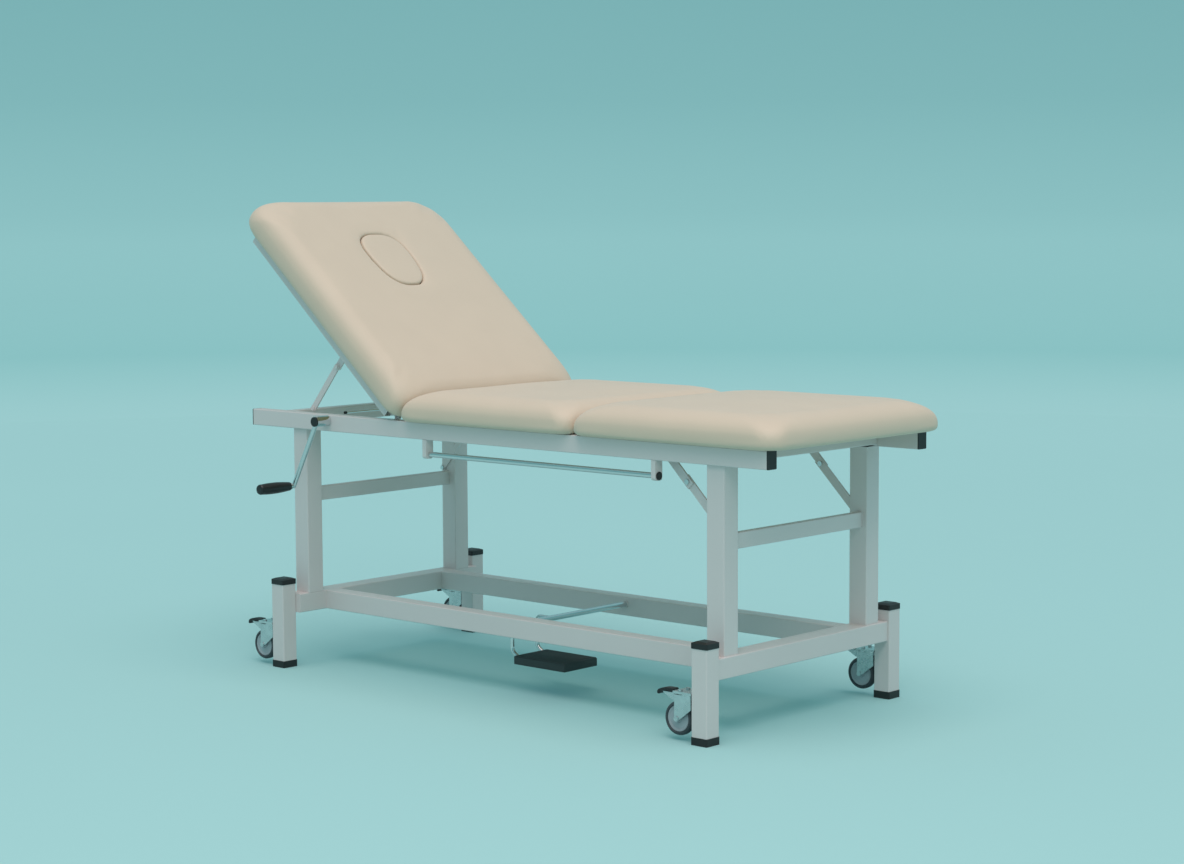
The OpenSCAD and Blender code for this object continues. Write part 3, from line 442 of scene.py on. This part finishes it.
def rounded(x0, x1, b, ra, rb):
    """Outline of a pad seen from above. ra is the corner radius at x0, and rb the one at x1."""
    corners = ((x1 - rb, b - rb, rb, 0), (x0 + ra, b - ra, ra, 90),
               (x0 + ra, ra - b, ra, 180), (x1 - rb, rb - b, rb, 270))
    arcs = []
    for cx, cy, r, start in corners:
        turns = [math.radians(start + 90 / CORNER_STEPS * k) for k in range(CORNER_STEPS + 1)]
        arcs.append([(cx + r * math.cos(a), cy + r * math.sin(a)) for a in turns])
    out = []
    for i, arc in enumerate(arcs):
        p, q = arc[-1], arcs[(i + 1) % 4][0]
        out += arc
        out += [(p[0] + (q[0] - p[0]) * k / SIDE_STEPS, p[1] + (q[1] - p[1]) * k / SIDE_STEPS)
                for k in range(1, SIDE_STEPS)]
    return out


def side_rings(x0, x1, ra, rb, shape, base):
    """Rings of a pad's side from its under-edge to its top edge: the corners widen toward the top."""
    up_in, up, power, grow, _ = shape
    rings = []
    for t, z in quarter(6, LOW_IN, LOW, 0, SUPER_LOW, False) \
            + quarter(12, up_in, LOW, up, power, True)[1:]:
        t += SHRINK * min(1.0, z / LOW)
        rings.append([(x, y, base + z - (SHRINK if z > LOW + 0.99 * up else 0))
                      for x, y in rounded(x0 + t, x1 - t, HALF - t, ra + grow * t, rb + grow * t)])
    return rings


def crown_at(x, y, x0, x1, shape):
    """Height of the crowned top over its edge."""
    a = max(0.0, 1 - (abs(y) / (HALF - shape[0])) ** 2) ** 1.2
    b = max(0.0, 1 - (abs(2 * x - x0 - x1) / (x1 - x0 - 2 * shape[0])) ** 4)
    return shape[4] * a * b


def skin(name, rings, loop=False):
    """A closed skin through rings of equal length; loop joins the last ring to the first."""
    n, m = len(rings[0]), len(rings)
    verts = [tuple(c / 1000 for c in p) for r in rings for p in r]
    faces = [(j * n + i, j * n + (i + 1) % n, ((j + 1) % m) * n + (i + 1) % n, ((j + 1) % m) * n + i)
             for j in range(m if loop else m - 1) for i in range(n)]
    if not loop:
        faces += [tuple(range(n)), tuple(range((m - 1) * n, m * n))]
    mesh = bpy.data.meshes.new(name)
    mesh.from_pydata(verts, [], faces)
    obj = bpy.data.objects.new(name, mesh)
    bpy.context.scene.collection.objects.link(obj)
    edit(obj)
    done(obj)
    return obj


def points_of(obj):
    """The points of a mesh as rows of an array."""
    co = np.empty(len(obj.data.vertices) * 3)
    obj.data.vertices.foreach_get("co", co)
    return co.reshape(-1, 3)


def set_points(obj, co):
    """Moves the points of a mesh to the rows of an array."""
    obj.data.vertices.foreach_set("co", co.ravel())
    obj.data.update()


def soften(obj):
    """One smooth subdivision."""
    apply_modifier(obj, "SUBSURF", levels=1, render_levels=1)
    only(obj)
    bpy.ops.object.shade_smooth()


def puff(obj, size, held, guard, sizes):
    """Remeshes a pad evenly, then fills its cover with air pressure, as foam does.
    held(points) says which points stay on the board, and guard(points) gives the share of the swell,
    from 0 to 1, that each may have."""
    apply_modifier(obj, "REMESH", mode="VOXEL", voxel_size=size)
    apply_modifier(obj, "SMOOTH", factor=0.5, iterations=4)
    rest = points_of(obj)
    group = obj.vertex_groups.new(name="held")
    group.add([int(i) for i in np.nonzero(held(rest))[0]], 1.0, "REPLACE")
    only(obj)
    mod = obj.modifiers.new("cover", "CLOTH")
    cover = mod.settings
    cover.quality = 4
    cover.mass = 0.3
    cover.tension_stiffness = 30
    cover.compression_stiffness = 30
    cover.shear_stiffness = 10
    cover.bending_stiffness = 4
    cover.use_pressure = True
    cover.uniform_pressure_force = sizes.pad_fill
    cover.vertex_group_mass = "held"
    cover.effector_weights.gravity = 0
    mod.collision_settings.use_collision = False
    mod.point_cache.frame_start = 1
    mod.point_cache.frame_end = SETTLE
    for f in range(1, SETTLE + 1):
        bpy.context.scene.frame_set(f)
    bpy.ops.object.modifier_apply(modifier="cover")
    bpy.context.scene.frame_set(1)
    move = points_of(obj) - rest
    far = np.linalg.norm(move, axis=1, keepdims=True)
    cap = (sizes.pad_cap * guard(rest)).reshape(-1, 1)
    move *= np.minimum(1.0, cap / np.maximum(far, 1e-9))
    set_points(obj, rest + move)
    obj.vertex_groups.clear()
    apply_modifier(obj, "SMOOTH", factor=0.5, iterations=3)
    soften(obj)


def ramp(distance, reach):
    """0 at or inside 0, 1 from reach on, smoothly."""
    t = np.clip(distance / reach, 0.0, 1.0)
    return t * t * (3 - 2 * t)


def level_pad(name, x0, x1, ra, rb, sizes, head_guard=None):
    """A seat or leg pad on the rails. From the X of head_guard on toward the head it hardly swells."""
    rings = [[(x, y, PAD_Z + z) for x, y in rounded(x0 + RIM, x1 - RIM, HALF - RIM, POCKET_R, POCKET_R)]
             for z in (POCKET, 0.0)] + side_rings(x0, x1, ra, rb, LEVEL, PAD_Z)
    edge = rings[-1]
    cx = (x0 + x1) / 2
    for t in (0.93, 0.8, 0.6, 0.4, 0.2, 0.05):
        ring = []
        for x, y, _ in edge:
            px, py = cx + (x - cx) * t, y * t
            ring.append((px, py, PAD_Z + LOW + LEVEL[1] - SHRINK + crown_at(px, py, x0, x1, LEVEL)))
        rings.append(ring)
    obj = skin(name, rings)
    obj.data.transform(Matrix.Translation(at(0, 0, 0)))
    floor_z = (PAD_Z + POCKET + 1.5) / 1000
    x_seam = at(SEAM, 0, 0).x
    x_head = at(head_guard, 0, 0).x if head_guard is not None else None

    def guard(p):
        g = np.ones(len(p)) if x_head is None else ramp(p[:, 0] - x_head, 0.08)
        return 0.04 + 0.96 * g
    puff(obj, sizes.pad_mesh, lambda p: p[:, 2] < floor_z, guard, sizes)
    # The two pads press on each other: the swell stops at the joint plane.
    co = points_of(obj)
    hold = np.minimum if x1 == SEAM else np.maximum
    co[:, 0] = hold(co[:, 0], x_seam)
    set_points(obj, co)
    return obj


# The back pad's ends along the back from the hinge, its underside over the hinge, and its corner radii
BACK_X0, BACK_X1, BACK_Z = -817.7, 43.0, 25.0
BACK_HEAD_R, BACK_FOOT_R = 76, 37
# the middle of the face opening, half its length and half its width, its exponent and how egg-like it is
HOLE_X, HOLE_Y, HOLE_L, HOLE_W = -519.5, -12.0, 112.0, 83.0
HOLE_POWER, HOLE_EGG = 2.7, 0.1
# the back is shown at the end of its travel, raised from level
RAISE = math.radians(-joint("back_tilt")["range_deg"][0])
RAISED = joint_place("back_tilt") @ Matrix.Rotation(RAISE, 4, "Y")
ON_BOARD = Matrix.Translation((0, 0, BACK_Z / 1000))


def hole_at(a, g):
    """A point of the face opening's outline at angle a, moved g outwards."""
    def sp(v):
        return math.copysign(abs(v) ** (2 / HOLE_POWER), v)
    u = sp(math.cos(a))
    return HOLE_X + (HOLE_L + g) * u, HOLE_Y + (HOLE_W + g) * sp(math.sin(a)) * (1 - HOLE_EGG * u)


def back_top(x, y):
    """Height of the back pad's top over its underside."""
    return LOW + BACK[1] + crown_at(x, y, BACK_X0, BACK_X1, BACK)


def back_pad(name, sizes):
    """The back pad with its face opening, drawn level about the hinge line and then raised."""
    rings = side_rings(BACK_X0, BACK_X1, BACK_HEAD_R, BACK_FOOT_R, BACK, 0)
    edge = rings[-1]
    angles = [math.atan2((p[1] - HOLE_Y) / (1.6 * HOLE_W), (p[0] - HOLE_X) / HOLE_L) for p in edge]
    for t in (0.85, 0.65, 0.45, 0.25, 0.1, 0.0):
        ring = []
        for (x, y, _), a in zip(edge, angles):
            hx, hy = hole_at(a, 5.0)
            px, py = hx + (x - hx) * t, hy + (y - hy) * t
            ring.append((px, py, back_top(px, py) - SHRINK * t))
        rings.append(ring)
    # the cover rolls over the rim of the opening and goes down to the board
    for g, dz in ((3.4, -0.5), (1.6, -1.9), (0.6, -4.2), (0.3, -8.0), (0.3, -30.0), (0.3, -60.0)):
        rings.append([(*hole_at(a, g), back_top(*hole_at(a, g)) + dz) for a in angles])
    rings.append([(*hole_at(a, 0.3), 0.0) for a in angles])
    obj = skin(name, rings, loop=True)
    obj.data.transform(ON_BOARD)

    def guard(p):
        end = ramp(BACK_X1 / 1000 - 0.02 - p[:, 0], 0.1)
        u = (p[:, 0] * 1000 - HOLE_X) / (HOLE_L + 12)
        v = (p[:, 1] * 1000 - HOLE_Y) / (HOLE_W + 12)
        hole = ramp(np.sqrt(u * u + v * v) - 1.0, 0.35)
        return 0.03 + 0.97 * end * hole
    puff(obj, sizes.pad_mesh * 0.9, lambda p: p[:, 2] < BACK_Z / 1000 + 0.003, guard, sizes)
    put(obj, RAISED)
    return obj


def face_pad(name):
    """The removable plug of the face opening, a small domed pad of its own."""
    def ring(g, t, dz):
        out = []
        for k in range(96):
            x, y = hole_at(2 * math.pi * k / 96, g)
            x, y = HOLE_X + (x - HOLE_X) * t, HOLE_Y + (y - HOLE_Y) * t
            out.append((x, y, back_top(x, y) + dz))
        return out
    wall = [[(x, y, z) for x, y, _ in ring(-1.4, 1, 0)] for z in (0.5, 40.0)]
    # each ring's gap to the opening, its share of the way out from the middle, and its height over the back
    dome = ((-1.3, 1, -14), (-1.3, 1, -8), (-1.8, 1, -4), (-3.4, 1, -1.6), (-6, 1, -0.2), (-10, 1, 0.5),
            (-10, 0.86, 0.9), (-10, 0.6, 1.0), (-10, 0.3, 1.0), (-10, 0.05, 1.0))
    obj = skin(name, wall + [ring(*row) for row in dome])
    obj.data.transform(ON_BOARD)
    apply_modifier(obj, "REMESH", mode="VOXEL", voxel_size=0.003)
    apply_modifier(obj, "SMOOTH", factor=0.5, iterations=3)
    soften(obj)
    put(obj, RAISED)
    return obj


# Operators
class EXAMTABLE_OT_coatings(bpy.types.Operator):
    """Gives the frame, rods, fixings, caps and boards their finishes"""
    bl_idname = "exam_table.coatings"
    bl_label = "Coatings"

    def execute(self, context):
        colours = context.scene.exam_table_colours
        MATERIALS.update({
            "coat": powder_coat(colours.coat),
            "chrome": chrome_plate(),
            "zinc": zinc_plate(),
            "plastic": moulded_plastic("moulded_black_polypropylene", colours.moulding, 1.2, 0.48),
            "grip": moulded_plastic("soft_black_grip", colours.moulding, 2.0, 0.36),
            "tyre": moulded_plastic("grey_rubber_tyre", paint("#3C4347"), 1.6, 0.6),
            "hub": moulded_plastic("grey_nylon_wheel_centre", paint("#9AA3A7"), 1.6, 0.42),
            "tread": moulded_plastic("black_rubber_tread", paint("#262E2F"), 1.4, 0.5),
            "board": birch_plywood(),
            "cover": vinyl_cover(colours.cover),
        })
        by_slot = {"painted_steel": "coat", "black_plastic": "plastic", "chrome_rod": "chrome",
                   "zinc_steel": "zinc", "plywood": "board", "tread_rubber": "tread",
                   "upholstery": "cover", "castor_tyre": "tyre"}
        for part in frame["record"]["subparts"]:
            dress(part["node"], by_slot[part["material_slot"]])
        return {"FINISHED"}


class EXAMTABLE_OT_level_pads(bpy.types.Operator):
    """Makes the seat pad and the leg pad"""
    bl_idname = "exam_table.level_pads"
    bl_label = "Seat and leg pads"

    def execute(self, context):
        sizes = context.scene.exam_table_sizes
        # the corners of the two pads, at the head, at the joint and at the foot
        head_r, seam_r, foot_r = 20, 45, 58
        seat = level_pad("seat_pad_cover", SEAT_HEAD, SEAM, head_r, seam_r, sizes, SEAT_GUARD)
        finish_piece(seat, "cover", "frame", "upholstery", "seat_cushion")
        leg = level_pad("leg_pad_cover", SEAM, LEG_FOOT, seam_r, foot_r, sizes)
        finish_piece(leg, "cover", "frame", "upholstery", "leg_cushion")
        return {"FINISHED"}


class EXAMTABLE_OT_back_pad(bpy.types.Operator):
    """Makes the back pad with its face opening, and the plug that fills it"""
    bl_idname = "exam_table.back_pad"
    bl_label = "Back pad and plug"

    def execute(self, context):
        sizes = context.scene.exam_table_sizes
        back = back_pad("back_pad_cover", sizes)
        finish_piece(back, "cover", "back", "upholstery", "back_cushion")
        plug = face_pad("face_plug_cover")
        finish_piece(plug, "cover", "plug", "upholstery", "face_plug")
        return {"FINISHED"}


class EXAMTABLE_OT_castors(bpy.types.Operator):
    """Makes the castor wheels: a moulded centre with a rubber tyre"""
    bl_idname = "exam_table.castors"
    bl_label = "Castor wheels"

    def execute(self, context):
        r = context.scene.exam_table_sizes.tyre_radius
        w = 0.012  # half the tyre's width
        tyre_rings = both_sides([(0.0335, -w + 0.0035), (r - 0.0075, -w), (r - 0.0045, -w + 0.0006),
                                 (r - 0.0015, -w + 0.003), (r, -w + 0.007)])
        # from the bore over the boss, the thin disc and the rim to the seat of the tyre
        hub_rings = both_sides([(0.0046, -0.0122), (0.0095, -0.0122), (0.0105, -0.0112), (0.0112, -0.008),
                                (0.0150, -0.0072), (0.0275, -0.0072), (0.0296, -0.0092),
                                (0.0322, -0.0096), (0.0338, -0.0086)])
        for q in QUARTERS:
            place = joint_place(q + "_roll") @ ACROSS
            tyre = turned(q + "_tyre", tyre_rings, 72, closed=True)
            put(tyre, place)
            finish_piece(tyre, "tyre", q + "_wheel", "castor_tyre", q + "_wheel")
            hub = turned(q + "_wheel_centre", hub_rings, 72, closed=True)
            put(hub, place)
            finish_piece(hub, "hub", q + "_wheel", "castor_tyre")
        return {"FINISHED"}


def side_web(name, y):
    """A side of the brake lever: a triangle of sheet from the toe end down to the pin in the fork."""
    fresh()
    bpy.ops.mesh.primitive_circle_add(vertices=4, radius=0.01, fill_type="NGON", location=(0, 0, 0))
    web = take(name)
    corners = ((-0.0475, 0.0047), (-0.0105, 0.0047), (-0.0035, -0.0130), (-0.0150, -0.0130))
    for v, (x, z) in zip(web.data.vertices, corners):
        v.co = (x, y, z)
    edit(web)
    bpy.ops.mesh.select_all(action="SELECT")
    bpy.ops.mesh.extrude_region_move(TRANSFORM_OT_translate={"value": (0, 0.0018, 0)})
    done(web)
    return web


def brake_arm(q, pin):
    """The arm: a flat bar from its pin in the fork, under the tab, with the shoe above the tyre."""
    arm = block(q + "_brake_arm", (-0.0480, -0.0118, 0.0045), (-0.0125, 0.0118, 0.0072), 0.0008, 2)
    webs = [side_web(q + "_brake_web", y) for y in (-0.0118, 0.0100)]
    eye = turned(q + "_brake_eye", both_sides([(0.0027, -0.0095), (0.0046, -0.0095)]), 32, closed=True)
    put(eye, Matrix.Translation(pin) @ ACROSS)
    shoe = block(q + "_brake_shoe", (-0.0158, -0.0100, -0.0138), (-0.0070, 0.0100, -0.0040), 0.0012, 2)
    join(arm, *webs, eye, shoe)
    smooth(arm, 40)
    return arm


def brake_tab(q):
    """The tab: a moulded cover, highest over the axle, with a turned-down lip."""
    tab = block(q + "_brake_tab", (-0.0670, -0.0118, 0.0075), (-0.0140, 0.0118, 0.0164), 0.0026, 3)
    edit(tab, "VERT")
    bpy.ops.mesh.select_all(action="SELECT")
    bpy.ops.mesh.subdivide(number_cuts=5)
    done(tab)
    level = -0.034  # the top runs level over the axle up to here and falls toward the toe end
    for v in tab.data.vertices:
        k = max(0.0, (level - v.co.x) / -level)
        v.co.z += 0.0004 - 0.0090 * k * k
    lip = block(q + "_brake_lip", (-0.0690, -0.0116, -0.0028), (-0.0610, 0.0116, 0.0070), 0.0028, 3)
    join(tab, lip)
    smooth(tab, 40)
    return tab


class EXAMTABLE_OT_brakes(bpy.types.Operator):
    """Makes the castor brakes: a plated arm with a black foot tab"""
    bl_idname = "exam_table.brakes"
    bl_label = "Castor brakes"

    def execute(self, context):
        # a brake is drawn about a point over its pin and a little in front of it
        pin = Vector((-0.005, 0, -0.0085))
        for q in QUARTERS:
            place = joint_place(q + "_brake_press") @ Matrix.Translation(-pin)
            arm = brake_arm(q, pin)
            put(arm, place)
            finish_piece(arm, "zinc", q + "_brake", "zinc_steel")
            tab = brake_tab(q)
            put(tab, place)
            finish_piece(tab, "plastic", q + "_brake", "black_plastic", q + "_brake")
        return {"FINISHED"}


class EXAMTABLE_OT_tread(bpy.types.Operator):
    """Makes the foot pedal's ribbed rubber tread"""
    bl_idname = "exam_table.tread"
    bl_label = "Pedal tread"

    def execute(self, context):
        pitch = context.scene.exam_table_sizes.rib_pitch
        low, high = at(-20, -230, 79), at(171, -96, 101.6)
        rib_top, sunk = 0.103, high.z - 0.001
        pad = block("pedal_tread_pad", low, high, 0.0022, 3)
        count = int((high.y - low.y - 0.016) / pitch)
        first = (low.y + high.y) / 2 - pitch * (count - 1) / 2
        ribs = []
        for i in range(count):
            y = first + i * pitch
            ribs.append(block("tread_rib", (low.x + 0.009, y - pitch * 0.27, sunk),
                              (high.x - 0.009, y + pitch * 0.27, rib_top), 0.0006, 1))
        # a raised border keeps the foot on; it runs between these two distances from the pad's edge
        out, back = 0.002, 0.0055
        for a, b in (((low.x + out, low.y + out), (high.x - out, low.y + back)),
                     ((low.x + out, high.y - back), (high.x - out, high.y - out)),
                     ((low.x + out, low.y + back), (low.x + back, high.y - back)),
                     ((high.x - back, low.y + back), (high.x - out, high.y - back))):
            ribs.append(block("tread_border", (*a, sunk), (*b, rib_top), 0.0006, 1))
        join(pad, *ribs)
        finish_piece(pad, "tread", "pedal", "tread_rubber", "pedal_tread")
        return {"FINISHED"}


class EXAMTABLE_OT_grip(bpy.types.Operator):
    """Makes the crank's turning grip"""
    bl_idname = "exam_table.grip"
    bl_label = "Crank grip"

    def execute(self, context):
        # a collar at the crank, a belly that grows toward the hand's edge, a slight neck and a round end
        rings = [(0.0042, 0.0), (0.0105, 0.0), (0.0121, 0.0012), (0.0126, 0.004), (0.0131, 0.010),
                 (0.0142, 0.020), (0.0154, 0.034), (0.0163, 0.050), (0.0165, 0.062), (0.0165, 0.074),
                 (0.0162, 0.088), (0.0155, 0.098), (0.0150, 0.103), (0.0151, 0.108), (0.0147, 0.1115),
                 (0.0133, 0.1143), (0.0105, 0.1154), (0.0070, 0.1157), (0.0020, 0.1157)]
        crank_end = at(-755, -399.3, 536)
        grip = turned("crank_grip_sleeve", rings, 64)
        put(grip, Matrix.Translation(crank_end) @ ACROSS)
        finish_piece(grip, "grip", "grip", "black_plastic", "crank_grip")
        return {"FINISHED"}


# The studio
def studio_paper(colour):
    # Matt paper, with painted shade: its colour is made a little darker in the sweep than on the flat floor and
    # high on the wall.
    m, tree, shader, where = material("matt_studio_paper")
    mottle = noise(tree, where, 0.35, 1.0)
    tint = mixed(tree, mottle, shade(colour, 0.985), shade(colour, 1.015))
    height = add(tree, "ShaderNodeSeparateXYZ", {0: where}).outputs["Z"]
    share = spread(tree, height, 0.0, 1.0, stop=3.0)
    # painted shade: over height the paper's colour goes from white on the floor to darkest about 0.3 m up in the
    # sweep, and back to white by 3 m
    painted_sweep_shade = add(tree, "ShaderNodeValToRGB", {0: share})
    for spot, code in ((0.1, "#E2F1F1"), (0.35, "#FBFFFF")):
        painted_sweep_shade.color_ramp.elements.new(spot).color = rgba(code)
    painted_sweep_shade.color_ramp.elements[0].color = rgba("#FFFFFF")
    feed(tree, shader, {
        "Base Color": mixed(tree, 1.0, tint, painted_sweep_shade.outputs[0], "MULTIPLY"),
        # a faint glow stands for light bounced round the studio: it keeps the shadows on the paper teal
        "Emission Color": rgba("#7CF2FF"),
        "Emission Strength": 0.08,
        "Roughness": 0.9,
        "Specular IOR Level": 0.2,
    })
    return m


def lamp(name, kind, place, target, size, power, tone):
    """A square area lamp, or a sun whose size is its angle, that shines from a place at a target."""
    data = bpy.data.lights.new(name, kind)
    if kind == "AREA":
        data.shape = "SQUARE"
        data.size = size
    else:
        data.angle = math.radians(size)
    data.energy = power
    data.color = paint(tone)
    obj = bpy.data.objects.new(name, data)
    bpy.context.scene.collection.objects.link(obj)
    obj.location = place
    obj.rotation_euler = (Vector(target) - Vector(place)).to_track_quat("-Z", "Y").to_euler()


def photo_camera():
    """The camera, where the photograph was taken from."""
    stand = at(4666.8, -5086.66, 1367.68)
    yaw, pitch, roll = 0.735, -0.095, -0.005
    focal_pixels, photo_width = 2465.34, 1184
    ahead = Vector((-math.sin(yaw) * math.cos(pitch), math.cos(yaw) * math.cos(pitch), math.sin(pitch)))
    level = Vector((math.cos(yaw), math.sin(yaw), 0))
    upright = level.cross(ahead)
    right = math.cos(roll) * level + math.sin(roll) * upright
    up = -math.sin(roll) * level + math.cos(roll) * upright
    data = bpy.data.cameras.new("photo_camera")
    data.sensor_width = 36
    data.lens = focal_pixels * 36 / photo_width
    camera = bpy.data.objects.new("photo_camera", data)
    bpy.context.scene.collection.objects.link(camera)
    camera.matrix_world = Matrix.Translation(stand) @ Matrix((right, up, -ahead)).transposed().to_4x4()
    return camera


class EXAMTABLE_OT_stage(bpy.types.Operator):
    """Makes the plain studio: a floor that curves up into a round backdrop, soft lamps and the camera"""
    bl_idname = "exam_table.stage"
    bl_label = "Studio"

    def execute(self, context):
        paper = studio_paper(context.scene.exam_table_colours.studio)
        fresh()
        bpy.ops.mesh.primitive_circle_add(vertices=128, radius=9.0, fill_type="NGON", location=(0, 0, 0))
        floor = take("studio_floor")
        floor.data.materials.append(paper)
        wall = turned("studio_backdrop", [(9.0, 0.0), (9.7, 0.05), (10.5, 0.25), (11.2, 0.65), (11.7, 1.25),
                                          (12.0, 2.1), (12.1, 3.2), (12.1, 10.0)], 128)
        # the backdrop is open above and below
        edit(wall)
        pick(wall, lambda c, n: abs(n.z) > 0.98 and c.length < 5 or c.z > 9.9 or c.length < 1)
        bpy.ops.mesh.delete(type="ONLY_FACE")
        bpy.ops.mesh.select_all(action="SELECT")
        bpy.ops.object.mode_set(mode="OBJECT")
        wall.data.materials.append(paper)
        wall.visible_diffuse = False
        wall.visible_shadow = False

        world = bpy.data.worlds.new("studio_air")
        context.scene.world = world
        world.use_nodes = True
        sky = world.node_tree.nodes["Background"]
        feed(world.node_tree, sky, {"Color": rgba("#CAF5FF"), "Strength": 0.58})
        middle = (0, 0, 0.6)
        lamp("camera_side_softbox", "AREA", (3.4, -3.4, 4.4), middle, 2.4, 46, "#FFF1EC")
        # a wide overhead light, as from a luminous ceiling: soft shadows straight below the table
        lamp("luminous_ceiling", "SUN", (1.0, -0.8, 6.0), middle, 56, 1.82, "#FFE7E5")
        context.scene.camera = photo_camera()
        context.scene.view_settings.view_transform = "Standard"
        return {"FINISHED"}


class EXAMTABLE_PT_panel(bpy.types.Panel):
    """Lists the steps that finish the table"""
    bl_label = "Examination table"
    bl_idname = "EXAMTABLE_PT_panel"
    bl_space_type = "VIEW_3D"
    bl_region_type = "UI"
    bl_category = "Exam table"

    def draw(self, context):
        layout = self.layout
        for group in (context.scene.exam_table_colours, context.scene.exam_table_sizes):
            for key in group.bl_rna.properties.keys():
                if key not in ("rna_type", "name"):
                    layout.prop(group, key)
        for step in STEPS:
            layout.operator(step.bl_idname)


STEPS = (EXAMTABLE_OT_coatings, EXAMTABLE_OT_level_pads, EXAMTABLE_OT_back_pad, EXAMTABLE_OT_castors,
         EXAMTABLE_OT_brakes, EXAMTABLE_OT_tread, EXAMTABLE_OT_grip, EXAMTABLE_OT_stage)
CLASSES = (ExamTableColours, ExamTableSizes, *STEPS, EXAMTABLE_PT_panel)


def register():
    for c in CLASSES:
        bpy.utils.register_class(c)
    bpy.types.Scene.exam_table_colours = bpy.props.PointerProperty(type=ExamTableColours)
    bpy.types.Scene.exam_table_sizes = bpy.props.PointerProperty(type=ExamTableSizes)


def unregister():
    del bpy.types.Scene.exam_table_colours
    del bpy.types.Scene.exam_table_sizes
    for c in reversed(CLASSES):
        bpy.utils.unregister_class(c)


def main():
    register()
    bpy.ops.exam_table.coatings()
    bpy.ops.exam_table.level_pads()
    bpy.ops.exam_table.back_pad()
    bpy.ops.exam_table.castors()
    bpy.ops.exam_table.brakes()
    bpy.ops.exam_table.tread()
    bpy.ops.exam_table.grip()
    bpy.ops.exam_table.stage()
    fresh()


if __name__ == "__main__":
    main()
